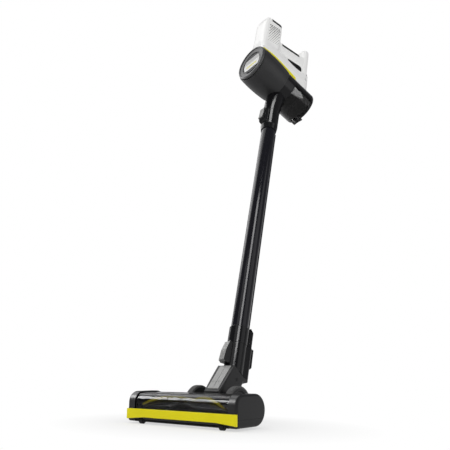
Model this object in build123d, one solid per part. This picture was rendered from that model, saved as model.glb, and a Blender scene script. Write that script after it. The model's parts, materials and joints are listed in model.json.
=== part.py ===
"""Cordless stick vacuum: powered floor head, two-axis neck, suction tube and hand-held unit.

All sizes are in millimetres. The floor head is drawn with its front towards -Y and the rear wheel axle above
the drawing origin. The tube and hand unit are drawn upright in a hand frame (y backwards, z up the tube), then
tilted and twisted at the neck. At the end the whole model moves so that its origin is the middle of its base.
"""
from build123d import *
import os
from math import cos, radians, sin, sqrt

# Floor head
HEAD_WIDTH = 255.0
CAP_WIDTH = 18.0
HEAD_FRONT = -106.0
HEAD_BACK = -25.0
HEAD_LOW = 4.0
HEAD_TOP = 56.0
NOSE_RADIUS = 19.0
TOE_RADIUS = 5.0
BODY_INSET = 2.0
WINDOW_WALL = 2.5
WINDOW_BACK = -70.0
WINDOW_LOW = 24.5
CAP_WALL = 2.5
CAP_RIM = 4.5
SEAM = 0.3
STRIP_FRONT = -108.0
STRIP_BACK = -104.0
STRIP_TOP = 26.0
STRIP_LOW = 11.6
STRIP_END_LOW = 7.9
STRIP_FLARE_X = 85.0
SOLE_LOW = 4.0
SOLE_FRONT = -103.0
SOLE_BACK = -49.0

# Brush roller and its drive
BRUSH_Y = -76.0
BRUSH_Z = 26.0
BRUSH_CORE_R = 13.0
BRUSH_TIP_R = 24.5
BRUSH_HALF = 103.0
CHAMBER_R = 25.5
CHAMBER_HALF = 106.0
MOUTH_HALF = 103.0
MOUTH_FRONT = -91.5
MOUTH_BACK = -60.0
BRISTLE_HALF = 97.0
BRISTLES_PER_ARM = 50
BRISTLE_R = 0.75
BRISTLE_SLOPE = 0.42
STRIP_SEAT_R = 11.6
STRIP_FACE_R = 13.6
STRIP_WIDTH = 4.4
STRIP_SECTIONS = 7
DRIVE_STUB_R = 5.0
FREE_STUB_R = 4.0
BUSH_R = 8.0
ROLLER_PULLEY_R = 8.0
MOTOR_PULLEY_R = 4.5
PULLEY_FLANGE = 1.5
BELT_GAP = 0.15
BELT_THICK = 1.2
BELT_X = (-119.5, -113.5)
BRUSH_MOTOR_R = 9.5
BRUSH_MOTOR_Y = -38.6
BRUSH_MOTOR_Z = 30.0
RUNNING = 0.05

# Wheels
AXLE_Z = 33.0
AXLE_R = 4.0
WHEEL_R = 33.0
WHEEL_RIM_R = 29.0
WHEEL_IN = 40.0
WHEEL_OUT = 54.0
WHEEL_MID = (WHEEL_IN + WHEEL_OUT) / 2
WELL_R = 34.5
FORK_IN = 27.0
FORK_OUT = 35.0
FORK_R = 12.0
FRONT_ROLLER_R = 5.5
FRONT_ROLLER_X = 94.0
FRONT_ROLLER_Y = -99.5
FRONT_ROLLER_HALF = 4.5
FRONT_PIN_R = 1.5

# Neck
NECK_LEAN = 39.0
NECK_LENGTH = 80.0
NECK_HALF = 20.0
NECK_TOP = 72.0
BARREL_R = 22.0
BARREL_HALF = 25.0
SPIGOT_R = 15.94
SPIGOT_BORE = 12.5
SPIGOT_LOW = -29.0
SPIGOT_TOP = -7.0
TUBE_LEAN = 19.5
NECK_TWIST = -14.0

# Connector and suction tube, along the tube from the swivel's centre
CONNECTOR_R = 20.0
CONNECTOR_TOP = 50.0
CONNECTOR_BACK = 31.0
COLLAR_TOP = 86.0
TUBE_R = 18.0
TUBE_WALL = 1.5
TUBE_TOP = 690.0
RIDGE_HALF = 6.0
RIDGE_BACK = 23.0
UPPER_COLLAR_LOW = 642.0
UPPER_COLLAR_TOP = 706.0
UPPER_COLLAR_R = 22.0
LATCH_HALF = 8.0
LATCH_GAP = 0.3

# Hand unit: the body cylinder crosses the tube's line at BODY_Z and droops towards its back end
BODY_Z = 819.9
BODY_DROOP = 7.15
FACE_SLANT = 10.8
FACE_W = -95.5
FACE_R = 49.0
BELLY_R = 54.0
BELLY_W = -48.0
BELLY_BACK_R = 50.5
MOTOR_BACK_W = 3.0
MOTOR_WALL = 3.0
BIN_FRONT_W = 33.3
BIN_BACK_W = 98.0
BIN_R = 49.0
BIN_WALL = 2.5
FLAP_THICK = 11.0
FLAP_ROUND = 8.0
PARTING_U = 29.0
TRIM_TOP_U = 35.5
TRIM_FRONT_U = 33.0
TRIM_THIN_U = 30.8

# White handle housing, in the hand frame
BASE_PLACES = (
    (-114.0, 40.5, 38.5, 31.0, 36.0, 48.0), (-80.0, 45.0, 40.0, 31.0, 46.0, 70.0),
    (-45.0, 46.8, 40.0, 30.0, 58.0, 92.0), (-15.0, 46.0, 39.5, 30.0, 60.0, 95.5),
    (33.0, 42.5, 38.0, 30.0, 60.0, 95.5), (112.0, 37.0, 34.0, 28.0, 60.0, 95.5),
)
BASE_CORNER = 10.0
BASE_FRONT_Y = -150.0
BASE_BACK_Y = 100.0
BASE_BACK_HALF = 35.0
BASE_BACK_ROUND = 26.0
BEZEL_DEPTH = 6.0
CAP_HEIGHT = 11.0
CAP_FRONT = -16.0
SKIRT_PLACES = (
    (852.0, 37.0, -97.0, -34.0), (875.0, 36.0, -91.0, -31.0), (895.0, 33.0, -88.0, -27.5),
    (912.0, 28.6, -86.0, -23.0), (926.0, 25.4, -85.2, -19.2), (938.0, 24.4, -85.0, -18.0),
)
TOWER_NECK_Z = 1012.0
TOWER_TOP_Z = 1039.0
TOWER_TOP_LEAN = 9.0
TOWER_TOP_HALF = 23.0
TOWER_TOP_DEPTH = 60.0
TOWER_MID_Y = -49.0
TOWER_CORNER = 12.0
BAR_LEAN = 11.0
BAR_WIDTH = 32.0
BAR_HEIGHT = 50.0
BAR_CORNER = 13.0
BAR_MID_Y = 18.0
BAR_MID_Z = 967.0
POST_Y = 91.0
POST_WIDTH = 36.0
POST_DEPTH = 24.0
POST_TOP_Z = 1039.0
BAR_BLEND = 9.0
SHELL_WALL = 3.0
RELEASE_LOW = 918.0
RELEASE_TOP = 952.0
SIDE_SLOTS = ((86.5, 910.0, 931.0), (80.5, 880.0, 896.0))
SIDE_SLOT_HALF = 1.3
VENT_R = 1.0
VENT_TOP_R = 1.9
VENT_PITCH = 6.6
VENT_COLUMNS = 6
VENT_ROWS = 11
VENT_FRONT = -67.0
VENT_TOP = 1002.0
VENT_RISE = 0.28
TRIGGER_HALF = 8.0
CELL_R = 9.2
CELL_LENGTH = 65.0
CELL_U = 65.5
JACK_R = 2.75
JACK_DEPTH = 9.0
JACK_Z = 985.0

NODES = {}


def block(x0, x1, y0, y1, z0, z1):
    """A box between two corners."""
    return Pos((x0 + x1) / 2, (y0 + y1) / 2, (z0 + z1) / 2) * Box(x1 - x0, y1 - y0, z1 - z0)


def rod_x(radius, x0, x1, y, z):
    """A round bar along X."""
    return Pos((x0 + x1) / 2, y, z) * Rot(0, 90, 0) * Cylinder(radius, x1 - x0)


def rod_y(radius, y0, y1, x, z):
    """A round bar along Y."""
    return Pos(x, (y0 + y1) / 2, z) * Rot(90, 0, 0) * Cylinder(radius, y1 - y0)


def rod_z(radius, z0, z1, x=0.0, y=0.0):
    """A round bar along Z."""
    return Pos(x, y, (z0 + z1) / 2) * Cylinder(radius, z1 - z0)


def outline(points, radius):
    """A closed face through points with rounded corners."""
    return make_face(FilletPolyline(*points, radius=radius, close=True))


def slab(face, x0, x1):
    """A face drawn in (y, z), extruded from x0 to x1."""
    return extrude(Plane.YZ.offset(x0) * face, x1 - x0)


def turned(points):
    """A closed (r, z) outline turned about Z."""
    return revolve(Plane.XZ * make_face(Polyline(*points, close=True)), Axis.Z)


def mirrored(shape):
    """The same shape on the other side of the middle plane."""
    return mirror(shape, Plane.YZ)


# Frames: the neck's own frame, the hand frame, the body cylinder's frame and its slanted front face
NECK = Plane(origin=(0, 0, AXLE_Z), x_dir=(1, 0, 0), z_dir=(0, sin(radians(NECK_LEAN)), cos(radians(NECK_LEAN))))
SWIVEL = NECK.origin + NECK.z_dir * NECK_LENGTH
TWIST = Axis((0, 0, 0), NECK.z_dir)
TUBE_UP = Vector(0, sin(radians(TUBE_LEAN)), cos(radians(TUBE_LEAN))).rotate(TWIST, NECK_TWIST)
TUBE_RIGHT = Vector(1, 0, 0).rotate(TWIST, NECK_TWIST)
HAND = Plane(origin=SWIVEL, x_dir=TUBE_RIGHT, z_dir=TUBE_UP)
BEND = NECK_LEAN - TUBE_LEAN
SPIGOT = Plane(origin=(0, 0, 0), x_dir=(1, 0, 0), z_dir=(0, sin(radians(BEND)), cos(radians(BEND))))
BODY = Plane(
    origin=(0, 0, BODY_Z), x_dir=(1, 0, 0), z_dir=(0, sin(radians(BODY_DROOP)), cos(radians(BODY_DROOP)))
)
FACE = Plane(
    origin=(0, FACE_W, 0), x_dir=(1, 0, 0), z_dir=(0, -cos(radians(FACE_SLANT)), -sin(radians(FACE_SLANT)))
)


def keep_on_floor(name, shape):
    """Store a piece drawn in the floor head's frame."""
    NODES[name] = shape


def keep_in_neck(name, shape):
    """Store a piece drawn in the neck's frame."""
    NODES[name] = NECK.location * shape


def keep_in_hand(name, shape):
    """Store a piece drawn in the hand frame."""
    NODES[name] = HAND.location * shape


def keep_in_body(name, shape):
    """Store a piece drawn in the body cylinder's frame (x, w backwards, u upwards)."""
    NODES[name] = HAND.location * BODY.location * shape


# Floor head housing
def head_section(inset):
    """The floor head's side outline: blunt nose, flat top and round back."""
    front = HEAD_FRONT + inset
    back = HEAD_BACK - inset
    low = HEAD_LOW + inset
    top = HEAD_TOP - inset
    round_back = (top - low) / 2 - 0.1
    points = [(front, low), (front, top), (back, top), (back, low)]
    return outline(points, [TOE_RADIUS, NOSE_RADIUS - inset, round_back, round_back])


def build_head_shells():
    """Housing, window, end caps, bumper strip, sole and top trim."""
    inner = HEAD_WIDTH / 2 - CAP_WIDTH
    outer = HEAD_WIDTH / 2
    body = slab(head_section(BODY_INSET), -inner, inner)
    hollow = slab(head_section(BODY_INSET + WINDOW_WALL), -inner, inner)
    skin = body - hollow
    front = block(-inner, inner, HEAD_FRONT, WINDOW_BACK, WINDOW_LOW, HEAD_TOP)
    window_room = block(-inner, inner, HEAD_FRONT, WINDOW_BACK - SEAM, WINDOW_LOW + SEAM, HEAD_TOP)
    keep_on_floor("brush_window", skin & window_room)

    housing = body - (skin & front)
    housing -= block(-CHAMBER_HALF, CHAMBER_HALF, HEAD_FRONT, WINDOW_BACK, WINDOW_LOW, HEAD_TOP)
    housing -= rod_x(CHAMBER_R, -CHAMBER_HALF, CHAMBER_HALF, BRUSH_Y, BRUSH_Z)
    housing -= block(-MOUTH_HALF, MOUTH_HALF, MOUTH_FRONT, MOUTH_BACK, 0, 20)
    fork_points = [(-50, AXLE_Z - FORK_R), (-50, AXLE_Z + FORK_R), (FORK_R, AXLE_Z + FORK_R), (FORK_R, AXLE_Z - FORK_R)]
    fork = slab(outline(fork_points, [0, 0, FORK_R - 0.1, FORK_R - 0.1]), FORK_IN, FORK_OUT)
    for arm in (fork, mirrored(fork)):
        housing += arm - rod_x(CHAMBER_R + 3, -CHAMBER_HALF, CHAMBER_HALF, BRUSH_Y, BRUSH_Z)
    housing -= rod_x(AXLE_R + 0.02, -FORK_OUT - 1, FORK_OUT + 1, 0, AXLE_Z)
    housing -= rod_y(13, -62, -20, 0, AXLE_Z)
    housing -= rod_x(BRUSH_MOTOR_R + 0.5, -CHAMBER_HALF + 2, -68, BRUSH_MOTOR_Y, BRUSH_MOTOR_Z)
    housing -= rod_x(3, -inner - 1, -CHAMBER_HALF + 3, BRUSH_MOTOR_Y, BRUSH_MOTOR_Z)
    for side in (-1, 1):
        housing -= rod_x(WELL_R, side * WHEEL_MID - 10, side * WHEEL_MID + 10, 0, AXLE_Z)
        housing -= rod_x(BUSH_R, side * 108 - 4, side * 108 + 4, BRUSH_Y, BRUSH_Z)
    trim_plane = Plane.XY.offset(HEAD_TOP - BODY_INSET)
    trim_arc = ThreePointArc((-98, -66), (0, -46), (98, -66)) + ThreePointArc((98, -66), (0, -68.5), (-98, -66))
    lens = make_face(trim_arc)
    recess = extrude(trim_plane * lens, -1.2)
    housing -= recess
    keep_on_floor("top_trim", extrude(trim_plane.offset(-1.2) * lens, 1.8))

    sole = block(-inner + SEAM, inner - SEAM, SOLE_FRONT, SOLE_BACK, SOLE_LOW, HEAD_LOW + BODY_INSET)
    sole -= block(-MOUTH_HALF, MOUTH_HALF, MOUTH_FRONT, MOUTH_BACK, 0, 10)
    screws = []
    for x in (-90, -32, 32, 90):
        housing -= rod_z(1.5, 6, 14, x, -53)
        sole -= rod_z(1.5, 0, 8, x, -53) + rod_z(3, 0, SOLE_LOW + 1.2, x, -53)
        screws.append(rod_z(1.5, SOLE_LOW + 1.2, 13, x, -53) + rod_z(3, SOLE_LOW + 0.1, SOLE_LOW + 1.2, x, -53))
    for side in (-1, 1):
        x = side * FRONT_ROLLER_X
        pocket = rod_x(FRONT_ROLLER_R + 0.8, x - 5.5, x + 5.5, FRONT_ROLLER_Y, FRONT_ROLLER_R)
        pin_hole = rod_x(FRONT_PIN_R + RUNNING, x - 8, x + 8, FRONT_ROLLER_Y, FRONT_ROLLER_R)
        housing -= pocket + pin_hole
        sole -= pocket + pin_hole
    keep_on_floor("head_housing", housing)
    keep_on_floor("sole_plate", sole)
    keep_on_floor("sole_screws", Compound(children=screws))

    cap = slab(head_section(0), inner, outer)
    cap = fillet(cap.faces().sort_by(Axis.X)[-1].edges(), CAP_RIM)
    cap -= slab(head_section(CAP_WALL), inner, outer - CAP_WALL)
    cap -= block(inner - 1, outer + 1, HEAD_FRONT - 5, STRIP_BACK, 0, STRIP_TOP + SEAM)
    cap -= block(outer - 0.7, outer + 1, STRIP_BACK, HEAD_BACK, 16.6, 17.3)
    keep_on_floor("right_end_cap", cap)
    keep_on_floor("left_end_cap", mirrored(cap))

    half = outer
    strip_points = [
        (-half, STRIP_END_LOW), (-half, STRIP_TOP), (half, STRIP_TOP), (half, STRIP_END_LOW),
        (STRIP_FLARE_X, STRIP_LOW), (-STRIP_FLARE_X, STRIP_LOW),
    ]
    face = make_face(Polyline(*strip_points, close=True))
    strip = extrude(Plane.XZ.offset(-STRIP_BACK) * face, STRIP_BACK - STRIP_FRONT)
    strip = fillet(strip.edges().filter_by(Axis.X).group_by(Axis.Y)[0], 1.2)
    keep_on_floor("bumper_strip", strip)


def build_wheels():
    """Rear wheels with tyres on stub axles, and the two small front rollers."""
    hub_outline = [
        (AXLE_R + RUNNING, WHEEL_IN), (WHEEL_RIM_R, WHEEL_IN), (WHEEL_RIM_R, WHEEL_OUT), (25, WHEEL_OUT),
        (23, WHEEL_OUT - 3), (10, WHEEL_OUT - 3), (8, WHEEL_OUT + 0.5), (AXLE_R + RUNNING, WHEEL_OUT + 0.5),
    ]
    tyre_outline = [
        (WHEEL_RIM_R, WHEEL_IN + 0.5), (WHEEL_R - 1, WHEEL_IN + 0.5), (WHEEL_R, WHEEL_IN + 2),
        (WHEEL_R, WHEEL_OUT - 2), (WHEEL_R - 1, WHEEL_OUT - 0.5), (WHEEL_RIM_R, WHEEL_OUT - 0.5),
    ]
    on_axle = Pos(0, 0, AXLE_Z) * Rot(0, 90, 0)
    hub = on_axle * turned(hub_outline)
    for step in range(5):
        hole = Rot(step * 72, 0, 0) * rod_x(3.2, WHEEL_IN - 1, WHEEL_OUT + 1, 16.5, 0)
        hub -= Pos(0, 0, AXLE_Z) * hole
    tyre = on_axle * turned(tyre_outline)
    stub = rod_x(AXLE_R, 18.5, WHEEL_OUT + 1, 0, AXLE_Z) + rod_x(6.5, WHEEL_OUT + 1, WHEEL_OUT + 3, 0, AXLE_Z)
    keep_on_floor("rear_wheel_right", hub)
    keep_on_floor("rear_tyre_right", tyre)
    keep_on_floor("rear_wheel_left", mirrored(hub))
    keep_on_floor("rear_tyre_left", mirrored(tyre))
    keep_on_floor("wheel_axles", Compound(children=[stub, mirrored(stub)]))
    x = FRONT_ROLLER_X
    roller = rod_x(FRONT_ROLLER_R, x - FRONT_ROLLER_HALF, x + FRONT_ROLLER_HALF, FRONT_ROLLER_Y, FRONT_ROLLER_R)
    roller = chamfer(roller.edges().filter_by(GeomType.CIRCLE), 0.8)
    roller += rod_x(FRONT_PIN_R, x - 7.5, x + 7.5, FRONT_ROLLER_Y, FRONT_ROLLER_R)
    keep_on_floor("front_roller_right", roller)
    keep_on_floor("front_roller_left", mirrored(roller))


# Brush roller
def around_brush(x, angle, radius):
    """The frame at a place on the roller: X across the row, Z outwards along the bristle."""
    out = Vector(0, cos(radians(angle)), sin(radians(angle)))
    return Plane(origin=Vector(x, BRUSH_Y, BRUSH_Z) + out * radius, x_dir=(1, 0, 0), z_dir=out)


def row_angle(start, x):
    """Angle of a chevron row at x: its apex is at mid length and leads."""
    return start - BRISTLE_SLOPE * abs(x) / BRUSH_TIP_R * 180 / 3.14159


def row_backing(start, side):
    """Half of one chevron row's backing strip, on one side of mid length."""
    sections = []
    for step in range(STRIP_SECTIONS):
        x = side * BRISTLE_HALF * step / (STRIP_SECTIONS - 1)
        frame = around_brush(x, row_angle(start, x), (STRIP_SEAT_R + STRIP_FACE_R) / 2)
        across = Plane(origin=frame.origin, x_dir=frame.y_dir, z_dir=(side, 0, 0))
        sections.append(across * Rectangle(STRIP_WIDTH, STRIP_FACE_R - STRIP_SEAT_R))
    return loft(sections, ruled=True)


def row_strands(start):
    """The strands of one chevron row."""
    length = BRUSH_TIP_R - STRIP_FACE_R + 0.6
    strand = extrude(RegularPolygon(BRISTLE_R, 3), length)
    strands = []
    for side in (-1, 1):
        for step in range(BRISTLES_PER_ARM):
            x = side * (step + 0.5) * (BRISTLE_HALF - 0.5) / BRISTLES_PER_ARM
            frame = around_brush(x, row_angle(start, x), STRIP_FACE_R - 0.6)
            strands.append(frame.location * strand)
    return strands


def build_brush():
    """Roller core with grooves, its bristle rows, bushes, pulleys, belt and brush motor."""
    core = rod_x(BRUSH_CORE_R, -BRUSH_HALF, BRUSH_HALF, BRUSH_Y, BRUSH_Z)
    core += rod_x(DRIVE_STUB_R, -121, -BRUSH_HALF, BRUSH_Y, BRUSH_Z)
    core += rod_x(FREE_STUB_R, BRUSH_HALF, 113, BRUSH_Y, BRUSH_Z)
    for name, starts in (("yellow_bristles", (205, 25)), ("dark_bristles", (115, 295))):
        rows = []
        for start in starts:
            backing = row_backing(start, -1) + row_backing(start, 1)
            core -= backing
            rows.append(backing + row_strands(start))
        keep_on_floor(name, Compound(children=rows))
    keep_on_floor("roller_core", core)
    inner = HEAD_WIDTH / 2 - CAP_WIDTH
    left = rod_x(BUSH_R - 0.02, -inner, -CHAMBER_HALF, BRUSH_Y, BRUSH_Z)
    left -= rod_x(DRIVE_STUB_R + RUNNING, -inner, -CHAMBER_HALF, BRUSH_Y, BRUSH_Z)
    right = rod_x(BUSH_R - 0.02, CHAMBER_HALF, inner, BRUSH_Y, BRUSH_Z)
    right -= rod_x(FREE_STUB_R + RUNNING, CHAMBER_HALF, inner, BRUSH_Y, BRUSH_Z)
    keep_on_floor("brush_bushes", Compound(children=[left, right]))

    pulley = rod_x(ROLLER_PULLEY_R, -120, -113, BRUSH_Y, BRUSH_Z)
    for x in (-121, -113):
        pulley += rod_x(ROLLER_PULLEY_R + PULLEY_FLANGE, x, x + 1, BRUSH_Y, BRUSH_Z)
    keep_on_floor("roller_pulley", pulley - rod_x(DRIVE_STUB_R, -122, -111, BRUSH_Y, BRUSH_Z))
    driver = rod_x(MOTOR_PULLEY_R, -120, -113, BRUSH_MOTOR_Y, BRUSH_MOTOR_Z)
    driver += rod_x(FREE_STUB_R / 2, -113, -96, BRUSH_MOTOR_Y, BRUSH_MOTOR_Z)
    keep_on_floor("motor_pulley", driver)
    motor = rod_x(BRUSH_MOTOR_R, -CHAMBER_HALF + 2.2, -70, BRUSH_MOTOR_Y, BRUSH_MOTOR_Z)
    motor -= rod_x(FREE_STUB_R / 2 + RUNNING, -CHAMBER_HALF, -95, BRUSH_MOTOR_Y, BRUSH_MOTOR_Z)
    keep_on_floor("brush_motor", motor)

    def loop(gap):
        """The hull round both pulleys, grown by a gap."""
        big = Pos(BRUSH_Y, BRUSH_Z) * Circle(ROLLER_PULLEY_R + gap)
        small = Pos(BRUSH_MOTOR_Y, BRUSH_MOTOR_Z) * Circle(MOTOR_PULLEY_R + gap)
        return make_hull(big.edges() + small.edges())

    belt = slab(loop(BELT_GAP + BELT_THICK), *BELT_X) - slab(loop(BELT_GAP), *BELT_X)
    keep_on_floor("drive_belt", belt)


def build_neck():
    """Elbow between the wheel axle and the swivel, with its light front cover and side screws."""
    side = outline(
        [(-28, 6), (-22.5, NECK_TOP), (20.5, NECK_TOP), (22, 50), (22, 0), (-20, 0)], [3, 2, 3, 8, 0.5, 0.5]
    )
    section = Pos(0, -3) * RectangleRounded(2 * NECK_HALF, 52, 7)
    elbow = slab(side, -NECK_HALF, NECK_HALF) & extrude(section, NECK_TOP + 1)
    elbow += rod_x(BARREL_R, -BARREL_HALF, BARREL_HALF, 0, 0)
    elbow -= rod_z(SPIGOT_R + RUNNING, SPIGOT_LOW + NECK_LENGTH - 1, NECK_TOP + 1)
    elbow -= rod_z(SPIGOT_BORE, 0, NECK_TOP)
    elbow -= rod_x(BARREL_R - 6, -17, 17, 0, 0)
    elbow -= rod_x(AXLE_R + RUNNING, -BARREL_HALF - 1, BARREL_HALF + 1, 0, 0)
    elbow -= Rot(X=NECK_LEAN) * rod_y(12, -30, 0, 0, 0)
    plate = slab(outline([(-28.4, 13), (-23.5, 70.5), (-20.5, 70.5), (-25.4, 13)], 0.8), -13, 13)
    elbow -= slab(outline([(-30, 12.8), (-25, 70.8), (-20.4, 70.8), (-25.3, 12.8)], 0.5), -13.2, 13.2)
    grooves = block(-0.4, 0.4, -40, -23, 10, 80) & slab(outline([(-30, 10), (-25, 80), (-22.4, 80), (-27.8, 10)], 0.5), -1, 1)
    keep_in_neck("elbow_cover", plate - grooves - block(-14, 14, -30, -26.4, 30, 30.8))
    screws = []
    for sign in (-1, 1):
        x = sign * NECK_HALF
        elbow -= rod_x(3.6, x - 1.4, x + 1.4, 0.5, 56)
        screws.append(rod_x(3.5, min(x - sign * 1.4, x + sign * 0.3), max(x - sign * 1.4, x + sign * 0.3), 0.5, 56))
    keep_in_neck("elbow_housing", elbow)
    keep_in_neck("neck_screws", Compound(children=screws))


def latch_button(points):
    """A press button with finger ribs near its lower end."""
    button = slab(outline(points, 1.0), -LATCH_HALF, LATCH_HALF)
    return button


def build_connector():
    """Swivel spigot, connector housing with its cable cover, and the latch that frees the floor head."""
    section = Circle(CONNECTOR_R) + Pos(0, 13) * RectangleRounded(30, 2 * (CONNECTOR_BACK - 13), 7)
    housing = extrude(Plane.XY.offset(-30) * section, CONNECTOR_TOP + 30)
    shoulder = [
        (20.9, CONNECTOR_TOP), (20.9, COLLAR_TOP), (23.5, COLLAR_TOP), (23.5, 93), (CONNECTOR_BACK, 86),
        (CONNECTOR_BACK, CONNECTOR_TOP),
    ]
    housing += slab(make_face(Polyline(*shoulder, close=True)), -9, 9)
    low_end = Plane(origin=SPIGOT.z_dir * SPIGOT_TOP, x_dir=(1, 0, 0), z_dir=SPIGOT.z_dir)
    housing = split(housing, low_end, keep=Keep.TOP)
    housing -= block(-LATCH_HALF - LATCH_GAP, LATCH_HALF + LATCH_GAP, -40, -14.2, 4.5, CONNECTOR_TOP + 1)
    housing -= SPIGOT.location * rod_z(SPIGOT_BORE, -30, 3) + rod_z(SPIGOT_BORE, 0, CONNECTOR_TOP + 1)
    cover = slab(outline([(29, 10), (33, 9), (37.5, 14), (37, 51), (29, 52)], 1.5), -9, 9)
    housing -= slab(outline([(28.9, 9.8), (33, 8.8), (40, 14), (40, 51), (28.9, 52.2)], 1.5), -9.2, 9.2)
    keep_in_hand("connector_housing", housing)
    keep_in_hand("connector_rear_cover", cover)
    spigot = rod_z(SPIGOT_R, SPIGOT_LOW, SPIGOT_TOP) - rod_z(SPIGOT_BORE, SPIGOT_LOW, SPIGOT_TOP)
    keep_in_hand("swivel_spigot", SPIGOT.location * spigot)
    wedge = [(-17.6, 6), (-29, 5), (-34, 9), (-31.5, 30), (-25, 49.7), (-17.6, 49.7)]
    keep_in_hand("head_latch", latch_button(wedge))


def build_tube():
    """Suction tube with a cable ridge at its back, its end collars and the latch that frees the hand unit."""
    low = CONNECTOR_TOP + 2
    tube = rod_z(TUBE_R, low, TUBE_TOP)
    ridge = Pos(0, RIDGE_BACK / 2 + 4) * RectangleRounded(2 * RIDGE_HALF, RIDGE_BACK - 8, 2.5)
    tube += extrude(Plane.XY.offset(COLLAR_TOP + SEAM) * ridge, UPPER_COLLAR_LOW - COLLAR_TOP - 2 * SEAM)
    tube -= rod_z(TUBE_R - TUBE_WALL, low, TUBE_TOP)
    channel = block(-4, 4, 18.2, 21.6, COLLAR_TOP, UPPER_COLLAR_LOW)
    keep_in_hand("suction_tube", tube - channel)
    keep_in_hand("power_cable", block(-3.6, 3.6, 18.5, 21.3, COLLAR_TOP + 1, UPPER_COLLAR_LOW - 1))
    fit = TUBE_R + 0.02
    lower = [(fit, CONNECTOR_TOP + SEAM), (20.5, CONNECTOR_TOP + SEAM), (20.5, COLLAR_TOP - 1), (19.5, COLLAR_TOP), (fit, COLLAR_TOP)]
    keep_in_hand("tube_lower_collar", turned(lower))
    upper = [
        (fit, UPPER_COLLAR_LOW), (TUBE_R + 2, UPPER_COLLAR_LOW), (UPPER_COLLAR_R, 657),
        (UPPER_COLLAR_R, UPPER_COLLAR_TOP), (fit, UPPER_COLLAR_TOP),
    ]
    collar = turned(upper)
    boss = slab(outline([(-15, 660), (-26, 664), (-28, 668), (-28, 705.5), (-15, 705.5)], 1.0), -11, 11)
    collar += boss - rod_z(fit, UPPER_COLLAR_LOW, UPPER_COLLAR_TOP)
    collar -= block(-LATCH_HALF - LATCH_GAP, LATCH_HALF + LATCH_GAP, -40, -19.7, 668, 704.5)
    keep_in_hand("tube_upper_collar", collar)
    wedge = [(-22.4, 668.4), (-33, 668.4), (-34.5, 671), (-33, 674), (-31, 704), (-22.4, 704)]
    keep_in_hand("tube_latch", latch_button(wedge))


# Hand unit: dark body cylinder
def belly(grow, front_w, back_w):
    """The motor housing's bulging outline turned about the body's axis, grown outwards."""
    start = (FACE_R + grow, front_w)
    middle = (BELLY_R + grow, BELLY_W)
    end = (BELLY_BACK_R + grow, back_w)
    side = ThreePointArc(start, middle, end)
    face = make_face(side + Polyline(end, (0, back_w), (0, front_w), start))
    return Rot(-90, 0, 0) * revolve(Plane.XZ * face, Axis.Z)


def drum(radius, w0, w1):
    """A round bar along the body's axis."""
    return rod_y(radius, w0, w1, 0, 0)


NOSE_ROOM = FACE.location * block(-80, 80, -80, 80, 0, 60)
BELLY_FRONT_W = -112.0


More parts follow.
